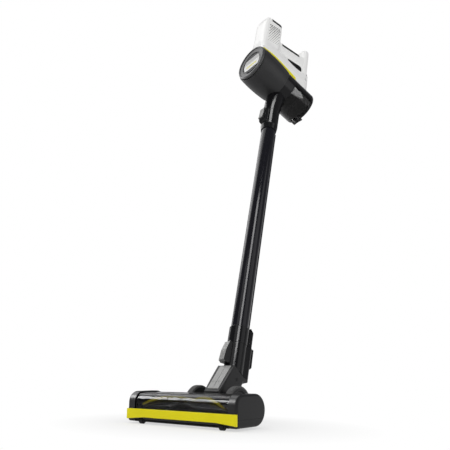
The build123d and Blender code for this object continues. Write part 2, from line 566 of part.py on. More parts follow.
def build_body():
    """Motor housing, front face, inlet neck, dust container with its flap, and what they hold."""
    below = block(-80, 80, -130, 140, -80, PARTING_U)
    behind_bezel = FACE.location * block(-80, 80, -80, 80, -BEZEL_DEPTH, 60)
    outer = belly(0, BELLY_FRONT_W, MOTOR_BACK_W)
    housing = outer - belly(-MOTOR_WALL, BELLY_FRONT_W, MOTOR_BACK_W - MOTOR_WALL)
    housing = ((housing - behind_bezel) & below) - drum(20, MOTOR_BACK_W - 5, MOTOR_BACK_W + 1)
    keep_in_body("motor_housing", housing)

    ring = FACE.location * (rod_z(FACE_R + 0.8, -BEZEL_DEPTH, -1.5) - rod_z(FACE_R - 4.5, -BEZEL_DEPTH, 0))
    rim = FACE.location * turned([
        (FACE_R - 3.5, -1.5), (FACE_R + 0.8, -1.5), (FACE_R + 0.8, -0.5), (FACE_R - 1, 1.5), (FACE_R - 3.5, 1.0),
    ])
    dish = turned([
        (0, -BEZEL_DEPTH), (FACE_R - 4, -BEZEL_DEPTH), (FACE_R - 4, -0.6), (35, -2.0), (34, -4.5), (0, -4.5),
    ])
    keep_in_body("front_bezel", ring + FACE.location * dish)
    keep_in_body("rim_ring", rim)
    plate = fillet(rod_z(31, -4.5, -2.2).edges().group_by(Axis.Z)[-1], 1.0)
    keep_in_body("front_plate", FACE.location * plate)

    motor = fillet(drum(26, -72, -30).edges(), 3) - drum(2.55, -40, -29)
    mount = drum(45.5, -54, -48) - drum(26, -55, -47)
    mount = mount & block(-80, 80, -130, 140, -80, PARTING_U - 0.5)
    keep_in_body("fan_motor", motor)
    keep_in_body("motor_mount", mount)
    hub = Rot(-90, 0, 0) * turned([(0, -39), (2.5, -39), (2.5, -26), (13, -26), (5, -11), (0, -9)])
    back_plate = drum(38, -26, -24)
    blade = extrude(Plane.XZ.offset(24) * make_face(Polyline((4, -1), (37.5, 6), (37.5, 7.2), (4, 0.6), close=True)), -12)
    wheel = hub + back_plate
    for step in range(9):
        wheel += Rot(0, step * 40, 0) * blade
    keep_in_body("impeller", wheel)

    collar_ring = drum(BIN_R, MOTOR_BACK_W + SEAM, BIN_FRONT_W - SEAM) - drum(BIN_R - BIN_WALL, 0, 40)
    foot = Plane.XY.offset(UPPER_COLLAR_TOP + SEAM) * Circle(UPPER_COLLAR_R)
    waist = Plane.XY.offset(735) * (Pos(0, 3) * Circle(23.5))
    top = Plane.XY.offset(800) * (Pos(0, 17) * Ellipse(26, 29))
    neck = BODY.location.inverse() * loft([foot, waist, top])
    neck -= outer + drum(BIN_R + SEAM, 0, BIN_BACK_W)
    bore = BODY.location.inverse() * loft([
        Plane.XY.offset(UPPER_COLLAR_TOP - 1) * Circle(16),
        Plane.XY.offset(735) * (Pos(0, 3) * Circle(16)),
        Plane.XY.offset(800) * (Pos(0, 17) * Circle(13)),
    ])
    saddle = neck + (drum(BIN_R + 2, 4, BIN_FRONT_W - 1) & BODY.location.inverse() * extrude(top, -60)) + collar_ring
    saddle -= bore + drum(BIN_R - BIN_WALL, 0, 40)
    keep_in_body("inlet_neck", saddle)

    bin_wall = drum(BIN_R, BIN_FRONT_W, BIN_BACK_W) - drum(BIN_R - BIN_WALL, BIN_FRONT_W, BIN_BACK_W)
    ears = []
    for sign in (-1, 1):
        ear = slab(outline([(92, -46), (109, -46), (109, -57), (98, -57)], [0.1, 2, 3, 3]), 8, 14)
        ears.append(ear if sign > 0 else mirrored(ear))
    hinge_w = 106.0
    hinge_u = -53.0
    for ear in ears:
        bin_wall += ear - drum(BIN_R - BIN_WALL, BIN_FRONT_W, 120) - block(-20, 20, BIN_BACK_W, 120, -50.5, -40)
    bin_wall -= rod_x(1.5, -20, 20, hinge_w, hinge_u)
    keep_in_body("dust_container", bin_wall)
    keep_in_body("flap_pin", rod_x(1.48, -14, 14, hinge_w, hinge_u))
    flap = drum(BIN_R, BIN_BACK_W + SEAM, BIN_BACK_W + FLAP_THICK)
    flap = fillet(flap.edges().group_by(Axis.Y)[-1], FLAP_ROUND)
    tongue = slab(outline([(hinge_w - 1.5, -44), (hinge_w + 1.6, -44), (hinge_w + 3.4, hinge_u), (hinge_w, hinge_u - 3.4), (hinge_w - 3.4, hinge_u)], 1.2), -7.5, 7.5)
    tongue -= drum(BIN_R + SEAM, 0, BIN_BACK_W + SEAM)
    flap += tongue
    flap -= rod_x(1.48 + RUNNING, -20, 20, hinge_w, hinge_u)
    keep_in_body("bin_flap", flap)
    seal = drum(BIN_R - BIN_WALL - 0.3, BIN_BACK_W - 3, BIN_BACK_W) - drum(BIN_R - BIN_WALL - 3, BIN_BACK_W - 3, BIN_BACK_W)
    keep_in_body("bin_seal", seal)
    cone = Rot(-90, 0, 0) * turned([(26, 36), (28, 36), (23, 66), (17, 70), (0, 70), (0, 68), (15, 68), (21, 64)])
    rim_disc = drum(BIN_R - BIN_WALL - 0.3, BIN_FRONT_W, 36) - drum(24, BIN_FRONT_W, 37)
    keep_in_body("filter_cone", cone + rim_disc)


GRIP = Plane(
    origin=(0, BAR_MID_Y, BAR_MID_Z), x_dir=(1, 0, 0), z_dir=(0, cos(radians(BAR_LEAN)), sin(radians(BAR_LEAN)))
)
LID = Plane(
    origin=(0, TOWER_MID_Y, TOWER_TOP_Z), x_dir=(1, 0, 0),
    z_dir=(0, -sin(radians(TOWER_TOP_LEAN)), cos(radians(TOWER_TOP_LEAN))),
)
HAND_NOSE = BODY.location * FACE.location * block(-80, 80, -80, 80, -BEZEL_DEPTH, 60)
HAND_FRONT_WALL = BODY.location * FACE.location * block(-80, 80, -80, 80, -BEZEL_DEPTH - SHELL_WALL, 60)


def base_section(place, shrink):
    """One cross-section of the white base, drawn in by a wall thickness."""
    w, half_low, half_mid, half_top, mid_u, top_u = place
    low_u = PARTING_U - 3
    points = [
        (half_low - shrink, low_u), (half_mid - shrink, mid_u), (half_top - shrink, top_u - shrink),
        (shrink - half_top, top_u - shrink), (shrink - half_mid, mid_u), (shrink - half_low, low_u),
    ]
    corner = BASE_CORNER - shrink
    return Plane.XZ.offset(-w) * outline(points, [0.5, 20, corner, corner, 20, 0.5])


def tower_section(place, shrink):
    """One cross-section of the tower at a height, drawn in by a wall thickness."""
    z, half, front, back = place
    section = RectangleRounded(2 * (half - shrink), back - front - 2 * shrink, TOWER_CORNER - shrink)
    return Plane.XY.offset(z) * (Pos(0, (front + back) / 2) * section)


def handle_forms(shrink):
    """The white housing's base, tower, grip bar and rear post, drawn in by a wall thickness."""
    base = BODY.location * loft([base_section(place, shrink) for place in BASE_PLACES])
    back = BASE_BACK_Y - shrink
    half = BASE_BACK_HALF - shrink
    plan = outline(
        [(-50, BASE_FRONT_Y), (50, BASE_FRONT_Y), (half, back), (-half, back)],
        [0.5, 0.5, BASE_BACK_ROUND - shrink, BASE_BACK_ROUND - shrink],
    )
    base &= extrude(Plane.XY.offset(780) * plan, 200)
    top = RectangleRounded(2 * (TOWER_TOP_HALF - shrink), TOWER_TOP_DEPTH - 2 * shrink, TOWER_CORNER - shrink)
    tower = loft([tower_section(place, shrink) for place in SKIRT_PLACES])
    top_place = (TOWER_NECK_Z, *SKIRT_PLACES[-1][1:])
    tower += extrude(tower_section(SKIRT_PLACES[-1], shrink), TOWER_NECK_Z - SKIRT_PLACES[-1][0])
    tower += loft([tower_section(top_place, shrink), LID.offset(-shrink) * top])
    bar = GRIP.location * bar_sleeve(-shrink, -58, 74)
    post_section = Pos(0, POST_Y) * RectangleRounded(POST_WIDTH - 2 * shrink, POST_DEPTH - 2 * shrink, 10 - shrink)
    post = extrude(Plane.XY.offset(850) * post_section, POST_TOP_Z - shrink - 850)
    return base, tower, bar, post


def bar_sleeve(grow, z0, z1):
    """The grip bar's section grown outwards, from z0 to z1 along the bar."""
    section = RectangleRounded(BAR_WIDTH + 2 * grow, BAR_HEIGHT + 2 * grow, BAR_CORNER + grow)
    return extrude(Plane.XY.offset(z0) * section, z1 - z0)


def at_bar_end(box):
    """Whether an edge runs round the bar where it meets the tower or the post."""
    at_tower = box.min.Y > -28 and box.max.Y < -8
    at_post = box.min.Y > 66 and box.max.Y < 85
    return box.min.Z > 925 and box.max.Z < 1020 and (at_tower or at_post)


def build_handle():
    """White clamshell handle with vents, its buttons and grips, and the battery, board and filter inside."""
    base, tower, bar, post = handle_forms(0)
    tower = fillet(tower.faces().sort_by(Axis.Z)[-1].edges(), 5)
    post = fillet(post.faces().sort_by(Axis.Z)[-1].edges(), 7)
    frame = tower + bar + post
    seams = frame.edges().filter_by(lambda edge: at_bar_end(edge.bounding_box()))
    frame = fillet(seams, BAR_BLEND)
    housing = (base + frame) - HAND_NOSE
    pad_room = GRIP.location * (block(-12, 12, 0, 40, 3, 57) - bar_sleeve(-2, 0, 60))
    keep_in_hand("grip_underside", frame & pad_room)
    hollow_base, hollow_tower, hollow_bar, hollow_post = handle_forms(SHELL_WALL)
    hollow = (hollow_base + hollow_tower) - HAND_FRONT_WALL + hollow_bar + hollow_post
    cap = housing & (LID.location * block(-40, 40, CAP_FRONT + SEAM, 50, -CAP_HEIGHT, 10))
    keep_in_hand("top_button", cap - hollow_tower)
    housing -= hollow
    housing -= LID.location * block(-40, 40, CAP_FRONT, 50, -CAP_HEIGHT - 1.8, 10)
    housing -= BODY.location * (belly(SEAM, BELLY_FRONT_W, MOTOR_BACK_W) + drum(BIN_R + SEAM, MOTOR_BACK_W, 130))
    trim_line = [
        (-120, PARTING_U), (97, PARTING_U), (97, TRIM_THIN_U), (38, TRIM_THIN_U), (33, TRIM_TOP_U), (-30, TRIM_TOP_U),
        (-60, TRIM_FRONT_U), (-120, TRIM_FRONT_U),
    ]
    band = BODY.location * slab(make_face(Polyline(*trim_line, close=True)), -80, 80)
    keep_in_hand("yellow_trim", Compound(children=(housing & band).solids()))
    housing -= band
    housing -= BODY.location * block(-80, 80, -140, 140, 0, PARTING_U + SEAM)

    vents = []
    for row in range(VENT_ROWS):
        radius = VENT_TOP_R + (VENT_R - VENT_TOP_R) * row / (VENT_ROWS - 1)
        hole = extrude(Plane.YZ.offset(-30) * RegularPolygon(radius, 6), 60)
        for column in range(VENT_COLUMNS):
            along = (column + 0.5 * (row % 2)) * VENT_PITCH
            vents.append(Pos(0, VENT_FRONT + along, VENT_TOP - row * VENT_PITCH + VENT_RISE * along) * hole)
    housing -= vents
    pleats = extrude(Plane.XY.offset(908) * (Pos(0, -52.5) * RectangleRounded(38, 44, 9)), 104)
    for step in range(6):
        pleats -= block(-30, 30, -80, -70.5, 916 + step * 16, 924 + step * 16)
    keep_in_hand("exhaust_filter", pleats)

    trigger_line = [(17, -37), (27, -38), (33.5, -34), (35, -28), (32, -20), (27, -15), (17, -15)]
    trigger = slab(outline(trigger_line, [0.5, 2, 4, 5, 4, 2, 0.5]), -TRIGGER_HALF, TRIGGER_HALF)
    trigger += block(-TRIGGER_HALF - 1, TRIGGER_HALF + 1, 17, 19.4, -35, -17)
    slot = block(-TRIGGER_HALF - SEAM, TRIGGER_HALF + SEAM, 15, 40, -38.4, -14.6)
    keep_in_hand("trigger", GRIP.location * trigger)
    housing -= GRIP.location * slot

    top_room = block(-15, 15, -30, 0, -24, 48)
    skin = bar_sleeve(0.5, -30, 60) - bar_sleeve(-2, -30, 60)
    cutter = bar_sleeve(4, -30, 60) - bar_sleeve(-2, -30, 60)
    keep_in_hand("grip_strip", GRIP.location * (skin & top_room))
    housing -= GRIP.location * (cutter & top_room)
    housing -= pad_room

    back = POST_Y + POST_DEPTH / 2
    jack = rod_y(5, back - 12.5, back + 0.2, 0, JACK_Z) - rod_y(JACK_R, back + 0.2 - JACK_DEPTH, back + 1, 0, JACK_Z)
    keep_in_hand("charge_jack", jack)
    housing -= rod_y(5, back - 10, back + 10, 0, JACK_Z)
    release_line = [
        (back - 5, RELEASE_LOW), (back - 5, RELEASE_TOP), (back + 4, RELEASE_TOP), (back + 7, RELEASE_LOW + 18),
        (back + 5, RELEASE_LOW),
    ]
    keep_in_hand("bin_release", slab(outline(release_line, [0.5, 0.5, 2, 3, 2]), -9, 9))
    housing -= block(-9.3, 9.3, back - 8, back + 20, RELEASE_LOW - SEAM, RELEASE_TOP + SEAM)
    for y, low, high in SIDE_SLOTS:
        housing -= block(-50, 50, y - SIDE_SLOT_HALF, y + SIDE_SLOT_HALF, low, high)
    keep_in_hand("handle_shell_right", housing & block(0, 80, -200, 200, 700, 1200))
    keep_in_hand("handle_shell_left", housing & block(-80, 0, -200, 200, 700, 1200))

    cells = []
    for x in (-19.4, 0, 19.4):
        for w in (-60, 8):
            cells.append(rod_y(CELL_R, w, w + CELL_LENGTH, x, CELL_U))
    keep_in_body("battery_cells", Compound(children=cells))
    keep_in_body("control_board", block(-24, 24, -35, 60, CELL_U + 11, CELL_U + 12.6))


def main():
    """Build every piece, move the model onto its origin and write one file per piece."""
    build_head_shells()
    build_wheels()
    build_brush()
    build_neck()
    build_connector()
    build_tube()
    build_body()
    build_handle()
    boxes = [shape.bounding_box() for shape in NODES.values()]
    middle_x = (min(box.min.X for box in boxes) + max(box.max.X for box in boxes)) / 2
    middle_y = (min(box.min.Y for box in boxes) + max(box.max.Y for box in boxes)) / 2
    low = min(box.min.Z for box in boxes)
    shift = Pos(-middle_x, -middle_y, -low)
    print(f"origin {middle_x:.5f} {middle_y:.5f} {low:.5f}")
    os.makedirs("parts", exist_ok=True)
    for name, shape in NODES.items():
        export_step(shift * shape, f"parts/{name}.step")


if __name__ == "__main__":
    main()
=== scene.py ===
"""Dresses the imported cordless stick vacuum: studio, finishes, brush, grip skin, trim band and vent screen.

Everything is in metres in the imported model's own frame: +Z up, -Y the way the floor head faces.
"""
from __future__ import annotations

import json
import logging
import math
import random
from dataclasses import dataclass
from enum import Enum
from typing import Any, Iterable, Sequence

import bpy
from mathutils import Matrix, Vector

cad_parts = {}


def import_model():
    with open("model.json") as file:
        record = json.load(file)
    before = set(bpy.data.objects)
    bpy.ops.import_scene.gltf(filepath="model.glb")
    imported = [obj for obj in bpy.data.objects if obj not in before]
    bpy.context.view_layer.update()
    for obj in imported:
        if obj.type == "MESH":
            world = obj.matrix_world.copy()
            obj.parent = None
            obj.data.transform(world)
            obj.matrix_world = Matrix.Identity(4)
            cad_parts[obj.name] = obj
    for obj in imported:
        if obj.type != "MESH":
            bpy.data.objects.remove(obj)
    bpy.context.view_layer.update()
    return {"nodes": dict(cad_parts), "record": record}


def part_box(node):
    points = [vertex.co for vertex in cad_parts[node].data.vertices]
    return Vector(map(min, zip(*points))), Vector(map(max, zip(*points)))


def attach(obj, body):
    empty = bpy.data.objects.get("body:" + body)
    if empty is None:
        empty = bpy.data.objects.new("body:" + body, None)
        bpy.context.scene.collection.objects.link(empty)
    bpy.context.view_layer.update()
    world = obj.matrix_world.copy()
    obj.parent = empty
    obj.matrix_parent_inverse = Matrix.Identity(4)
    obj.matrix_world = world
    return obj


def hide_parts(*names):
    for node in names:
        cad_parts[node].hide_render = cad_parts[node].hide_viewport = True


LOG = logging.getLogger("stick_vacuum")
Node = bpy.types.Node
Socket = bpy.types.NodeSocket
Material = bpy.types.Material
Piece = bpy.types.Object
Triple = tuple[float, float, float]
Pair = tuple[float, float]
Colour = Triple
Way = tuple[float, ...]
Face = tuple[int, ...]
MM = 0.001
FACE_LEAN = math.radians(3.65)
WHITE: Colour = (1.0, 1.0, 1.0)
MEAN_NOISE = 0.5
SEEN_RAYS = ("Is Camera Ray", "Is Glossy Ray", "Is Transmission Ray")


def dimmed(colour: Colour, share: float) -> Colour:
    """The colour with each component cut to a share of itself."""
    return tuple(component * share for component in colour)


def quads(low: int, high: int, count: int) -> list[Face]:
    """One quad for each side between two rings of that many points, which start at low and at high."""
    sides = [(step, (step + 1) % count) for step in range(count)]
    return [(low + step, low + after, high + after, high + step) for step, after in sides]


def new_piece(name: str, points: list[Vector], faces: list[Face], material: Material) -> Piece:
    """Adds a mesh to the scene.

    Args:
        name: the piece's name.
        points: its points in the model's frame.
        faces: its faces, by point.
        material: its finish.

    Returns:
        The new piece.
    """
    mesh = bpy.data.meshes.new(name)
    mesh.from_pydata(points, [], faces)
    mesh.update()
    mesh.materials.append(material)
    piece = bpy.data.objects.new(name, mesh)
    bpy.context.scene.collection.objects.link(piece)
    LOG.info("%s: %d faces", name, len(faces))
    return piece


class Field:
    """A number that varies over a surface: wraps a socket so that arithmetic on it adds Math nodes."""

    def __init__(self, graph: Graph, socket: Socket) -> None:
        """Keeps the graph that new nodes go into and the output that gives the number."""
        self.graph = graph
        self.socket = socket

    def _join(self, operation: str, first: Any, second: Any = None, clamp: bool = False) -> Field:
        """Adds one Math node.

        Args:
            operation: the Math node's operation.
            first: the first operand.
            second: the second operand, if the operation takes one.
            clamp: True to keep the result between 0 and 1.

        Returns:
            The node's result.
        """
        operands = {0: first} if second is None else {0: first, 1: second}
        node = self.graph.node("ShaderNodeMath", {"operation": operation, "use_clamp": clamp}, operands)
        return Field(self.graph, node.outputs[0])

    def __add__(self, other: Any) -> Field:
        """self + other."""
        return self._join("ADD", self, other)

    def __sub__(self, other: Any) -> Field:
        """self - other."""
        return self._join("SUBTRACT", self, other)

    def __rsub__(self, other: Any) -> Field:
        """other - self."""
        return self._join("SUBTRACT", other, self)

    def __mul__(self, other: Any) -> Field:
        """self * other."""
        return self._join("MULTIPLY", self, other)

    def __truediv__(self, other: Any) -> Field:
        """self / other."""
        return self._join("DIVIDE", self, other)

    def __pow__(self, other: Any) -> Field:
        """self ** other."""
        return self._join("POWER", self, other)

    def __gt__(self, other: Any) -> Field:
        """1 where self is above other, else 0."""
        return self._join("GREATER_THAN", self, other)

    def __lt__(self, other: Any) -> Field:
        """1 where self is below other, else 0."""
        return self._join("LESS_THAN", self, other)

    def magnitude(self) -> Field:
        """self without its sign."""
        return self._join("ABSOLUTE", self)

    def sine(self) -> Field:
        """The sine of self, in radians."""
        return self._join("SINE", self)

    def wave(self, pitch: float) -> Field:
        """A wave from 0 to 1 that repeats once every pitch."""
        return (self * (math.tau / pitch)).sine() * 0.5 + 0.5

    def clamped(self) -> Field:
        """self kept between 0 and 1."""
        return self._join("ADD", self, 0.0, clamp=True)

    def at_least(self, other: Any) -> Field:
        """The larger of self and other."""
        return self._join("MAXIMUM", self, other)

    def angle_from(self, other: Field) -> Field:
        """The angle whose tangent is self over other."""
        return self._join("ARCTAN2", self, other)


class Graph:
    """A material, or the world, and the nodes that shade it."""

    def __init__(self, owner: Any) -> None:
        """Clears the owner's node tree.

        Args:
            owner: a material or world.
        """
        owner.use_nodes = True
        self.owner = owner
        self.tree = owner.node_tree
        self.tree.nodes.clear()

    @classmethod
    def of_material(cls, name: str) -> Graph:
        """A graph on a new material of that name."""
        return cls(bpy.data.materials.new(name))

    def node(self, kind: str, settings: dict | None = None, sockets: dict | None = None) -> Node:
        """Adds any node: its settings are set first, then its sockets are filled or linked.

        Args:
            kind: the node's Blender type.
            settings: attributes by name.
            sockets: numbers, colours, Fields or output sockets, by input name or index.

        Returns:
            The new node.
        """
        made = self.tree.nodes.new(kind)
        for key, value in (settings or {}).items():
            setattr(made, key, value)
        for key, value in (sockets or {}).items():
            target = made.inputs[key]
            source = value.socket if isinstance(value, Field) else value
            if isinstance(source, Socket):
                self.tree.links.new(source, target)
            elif isinstance(source, tuple) and len(source) == 3 and target.type == "RGBA":
                target.default_value = (*source, 1.0)
            else:
                target.default_value = source
        return made

    def place(self) -> Socket:
        """The point on the surface in the piece's own frame, in metres."""
        return self.node("ShaderNodeTexCoord").outputs["Object"]

    def parts(self, vector: Socket) -> tuple[Field, Field, Field]:
        """A vector's three components."""
        split = self.node("ShaderNodeSeparateXYZ", sockets={0: vector})
        return Field(self, split.outputs[0]), Field(self, split.outputs[1]), Field(self, split.outputs[2])

    def normal(self) -> Socket:
        """The surface's own normal."""
        return self.node("ShaderNodeNewGeometry").outputs["Normal"]

    def dot(self, first: Any, second: Any) -> Field:
        """The dot product of two vectors."""
        made = self.node("ShaderNodeVectorMath", {"operation": "DOT_PRODUCT"}, {0: first, 1: second})
        return Field(self, made.outputs["Value"])

    def stretched(self, factors: Triple) -> Socket:
        """The surface point with its components scaled, to draw a texture out along one way."""
        sockets = {0: self.place(), 1: factors}
        return self.node("ShaderNodeVectorMath", {"operation": "MULTIPLY"}, sockets).outputs[0]

    def noise(self, size: float, detail: float = 2.0, where: Socket | None = None) -> Field:
        """Soft noise from 0 to 1 with blotches of that size in metres, at the surface point or elsewhere."""
        sockets = {"Vector": where or self.place(), "Scale": 1.0 / size, "Detail": detail}
        return Field(self, self.node("ShaderNodeTexNoise", None, sockets).outputs[0])

    def mix(self, amount: Any, low: Any, high: Any) -> Socket:
        """A colour between two colours or outputs: low where the amount is 0 and high where it is 1."""
        sockets = {0: amount, 6: low, 7: high}
        return self.node("ShaderNodeMix", {"data_type": "RGBA"}, sockets).outputs[2]

    def rounded(self, radius: float) -> Socket:
        """The surface normal as if every edge had a small radius."""
        return self.node("ShaderNodeBevel", {"samples": 4}, {"Radius": radius}).outputs[0]

    def edges(self, rounded: Socket) -> Field:
        """A mask, from the rounded normal, that is 1 along edges and 0 on open faces."""
        return ((1.0 - self.dot(rounded, self.normal())) * 4.0).clamped()

    def bump(self, height: Field, depth: float, normal: Socket | None = None) -> Socket:
        """A bumped normal.

        Args:
            height: the relief, from 0 to 1.
            depth: how deep the relief is, in metres.
            normal: the normal that it disturbs.

        Returns:
            The normal.
        """
        sockets: dict[str, Any] = {"Strength": 1.0, "Distance": depth, "Height": height}
        if normal is not None:
            sockets["Normal"] = normal
        return self.node("ShaderNodeBump", None, sockets).outputs[0]

    def ray(self, *kinds: str) -> Field:
        """Tells rays apart by what they do.

        Args:
            kinds: outputs of the Light Path node.

        Returns:
            1 for a ray of any of those kinds, else 0.
        """
        path = self.node("ShaderNodeLightPath")
        found = Field(self, path.outputs[kinds[0]])
        for kind in kinds[1:]:
            found = found.at_least(Field(self, path.outputs[kind]))
        return found

    def principled(self, sockets: dict[str, Any]) -> Material:
        """Ends a material in one Principled shader with those sockets."""
        return self.surface(self.node("ShaderNodeBsdfPrincipled", None, sockets).outputs[0])

    def surface(self, shader: Socket, output: str = "ShaderNodeOutputMaterial") -> Any:
        """Links a finished shader to the output; gives the material or world that it shades."""
        self.node(output, None, {"Surface": shader})
        return self.owner


@dataclass(frozen=True)
class Moulding:
    """Moulded plastic: even colour with slight flow marks, spark-eroded grain and paler edges, which stand
    for edge wear and, on the bezel, for a painted highlight along the rim.
    """

    name: str
    colour: Colour
    roughness: float
    grain: float = 0.7 * MM
    depth: float = 0.012 * MM
    specular: float = 0.5
    edge_lift: float = 0.12
    mottle: float = 0.06
    edge_radius: float = 0.5 * MM
    edge_share: float = 0.6
    edge_roughness: float = 0.05
    wear_and_highlight_tone: float = 0.8
    flow_size: float = 40.0 * MM
    smudge_size: float = 14.0 * MM
    smudge_roughness: float = 0.12
    fine_share: float = 0.8
    coarse_by: float = 9.0

    def material(self) -> Material:
        """Builds the finish.

        Returns:
            The material.
        """
        graph = Graph.of_material(self.name)
        rounded = graph.rounded(self.edge_radius)
        edge = graph.edges(rounded)
        smudge = graph.noise(self.smudge_size, detail=4.0) - MEAN_NOISE
        light = tuple(min(1.0, c * (1 + self.mottle)) for c in self.colour)
        # Paler edges: edge wear, and where edge_lift is large, as on the bezel, a painted edge highlight.
        worn = tuple(c + (self.wear_and_highlight_tone - c) * self.edge_lift for c in self.colour)
        even = graph.mix(graph.noise(self.flow_size, detail=3.0), dimmed(self.colour, 1 - self.mottle), light)
        fine = graph.noise(self.grain, detail=1.0) * self.fine_share
        coarse = graph.noise(self.grain * self.coarse_by, detail=1.0) * (1 - self.fine_share)
        roughness = smudge * self.smudge_roughness + self.roughness + edge * self.edge_roughness
        return graph.principled({
            "Base Color": graph.mix(edge * self.edge_share, even, worn),
            "Roughness": roughness.clamped(),
            "Normal": graph.bump(fine + coarse, self.depth, rounded),
            "Specular IOR Level": self.specular,
        })


@dataclass(frozen=True)
class SmokedMoulding:
    """Clear smoked plastic with faint fingerprints and hairline rubbing marks."""

    name: str
    tint: Colour
    ior: float
    roughness: float = 0.012
    smudge_size: float = 22.0 * MM
    deep_share: float = 0.88
    print_from: float = 0.58
    print_gain: float = 4.0
    print_roughness: float = 0.05
    scratch_size: float = 6.0 * MM
    scratch_stretch: Triple = (1.0, 9.0, 9.0)
    scratch_roughness: float = 0.015
    scratch_depth: float = 0.0006 * MM

    def material(self) -> Material:
        """Builds the finish.

        Returns:
            The material.
        """
        graph = Graph.of_material(self.name)
        smudge = graph.noise(self.smudge_size, detail=4.0)
        scratch = graph.noise(self.scratch_size, 3.0, graph.stretched(self.scratch_stretch))
        prints = ((smudge - self.print_from) * self.print_gain).clamped()
        roughness = prints * self.print_roughness + scratch * self.scratch_roughness + self.roughness
        return graph.principled({
            "Base Color": graph.mix(smudge, dimmed(self.tint, self.deep_share), self.tint),
            "Roughness": roughness.clamped(),
            "Normal": graph.bump(scratch, self.scratch_depth),
            "Transmission Weight": 1.0,
            "IOR": self.ior,
        })


@dataclass(frozen=True)
class Metal:
    """Bare, plated or brushed metal."""

    name: str
    colour: Colour
    roughness: float
    streak: Triple = (1.0, 1.0, 1.0)
    streak_size: float = 3.0 * MM
    streak_depth: float = 0.004 * MM
    streak_roughness: float = 0.10
    smudge_size: float = 20.0 * MM
    smudge_roughness: float = 0.06
    dull_share: float = 0.88
    edge_radius: float = 0.3 * MM

    def material(self) -> Material:
        """Builds the finish.

        Returns:
            The material.
        """
        graph = Graph.of_material(self.name)
        brushed = graph.noise(self.streak_size, 4.0, graph.stretched(self.streak))
        smudge = graph.noise(self.smudge_size)
        roughness = brushed * self.streak_roughness + smudge * self.smudge_roughness + self.roughness
        return graph.principled({
            "Base Color": graph.mix(brushed, dimmed(self.colour, self.dull_share), self.colour),
            "Metallic": 1.0,
            "Roughness": roughness.clamped(),
            "Normal": graph.bump(brushed, self.streak_depth, graph.rounded(self.edge_radius)),
        })


@dataclass(frozen=True)
class LatchFace:
    """Latch with black sides and a ribbed front face painted grey: a painted reflection of an overhead card
    in the black plastic.
    """

    name: str
    front: Way
    along: Way
    # Painted reflection: the grey of the front face stands for an overhead card reflected in it.
    face: Colour = (0.27, 0.27, 0.265)
    sides: Colour = (0.010, 0.010, 0.011)
    roughness: float = 0.34
    specular: float = 0.25
    face_from: float = 0.55
    face_gain: float = 8.0
    shade_share: float = 0.72
    rib_pitch: float = 3.0 * MM
    rib_depth: float = 0.12 * MM
    rib_relief: float = 0.7
    rib_shade: float = 0.12
    grain: float = 0.7 * MM
    grain_relief: float = 0.1
    smudge_size: float = 9.0 * MM
    smudge_shade: float = 0.3
    smudge_roughness: float = 0.12
    edge_radius: float = 0.5 * MM

    def material(self) -> Material:
        """Builds the finish.

        Returns:
            The material.
        """
        graph = Graph.of_material(self.name)
        facing = graph.dot(graph.normal(), self.front)
        # Mask of the front face, where the painted reflection goes.
        grey = ((facing - self.face_from) * self.face_gain).clamped()
        rib = graph.dot(graph.place(), self.along).wave(self.rib_pitch)
        smudge = graph.noise(self.smudge_size, detail=3.0)
        shade = smudge * self.smudge_shade + rib * self.rib_shade
        light = graph.mix(shade, self.face, dimmed(self.face, self.shade_share))
        height = rib * self.rib_relief + graph.noise(self.grain, detail=1.0) * self.grain_relief
        return graph.principled({
            "Base Color": graph.mix(grey, self.sides, light),
            "Roughness": (smudge * self.smudge_roughness + self.roughness).clamped(),
            "Normal": graph.bump(height, self.rib_depth, graph.rounded(self.edge_radius)),
            "Specular IOR Level": self.specular,
        })


@dataclass(frozen=True)
class StripedPlate:
    """Dark recessed disc with a silver-painted band across it: a grey upper field and one plain stripe."""

    name: str
    middle: Way
    right: Way
    up: Way
    dish: Colour = (0.022, 0.022, 0.023)
    silver: Colour = (0.56, 0.56, 0.55)
    worn_silver: Colour = (0.74, 0.74, 0.73)
    field: Colour = (0.33, 0.33, 0.325)
    stripe: Colour = (0.62, 0.56, 0.03)
    roughness: float = 0.40
    metallic: float = 0.25
    specular: float = 0.2
    band_half: float = 19.0 * MM
    field_from: float = 3.0 * MM
    stripe_mid: float = -7.5 * MM
    stripe_half: float = 2.3 * MM
    stripe_reach: float = 20.0 * MM
    streak: Triple = (1.0, 12.0, 12.0)
    streak_size: float = 3.0 * MM
    streak_depth: float = 0.003 * MM
    streak_share: float = 0.18
    streak_roughness: float = 0.12
    edge_radius: float = 0.3 * MM

    def _measured(self, graph: Graph, way: Way) -> Field:
        """How far a surface point lies from the plate's middle along one way.

        Args:
            graph: the material's graph.
            way: the way it is measured.

        Returns:
            The distance.
        """
        sockets = {0: graph.place(), 1: self.middle}
        away = graph.node("ShaderNodeVectorMath", {"operation": "SUBTRACT"}, sockets)
        return graph.dot(away.outputs[0], way)

    def material(self) -> Material:
        """Builds the finish.

        Returns:
            The material.
        """
        graph = Graph.of_material(self.name)
        height = self._measured(graph, self.up)
        across = self._measured(graph, self.right).magnitude()
        painted = height.magnitude() < self.band_half
        stripe = (height - self.stripe_mid).magnitude() < self.stripe_half
        stripe = stripe * (across < self.stripe_reach)
        brushed = graph.noise(self.streak_size, 4.0, graph.stretched(self.streak))
        silver = graph.mix(height > self.field_from, self.silver, self.field)
        worn = graph.mix(brushed * self.streak_share, silver, self.worn_silver)
        return graph.principled({
            "Base Color": graph.mix(painted, self.dish, graph.mix(stripe, worn, self.stripe)),
            "Metallic": (painted - stripe) * self.metallic,
            "Roughness": (brushed * self.streak_roughness + self.roughness).clamped(),
            "Normal": graph.bump(brushed, self.streak_depth, graph.rounded(self.edge_radius)),
            "Specular IOR Level": self.specular,
        })


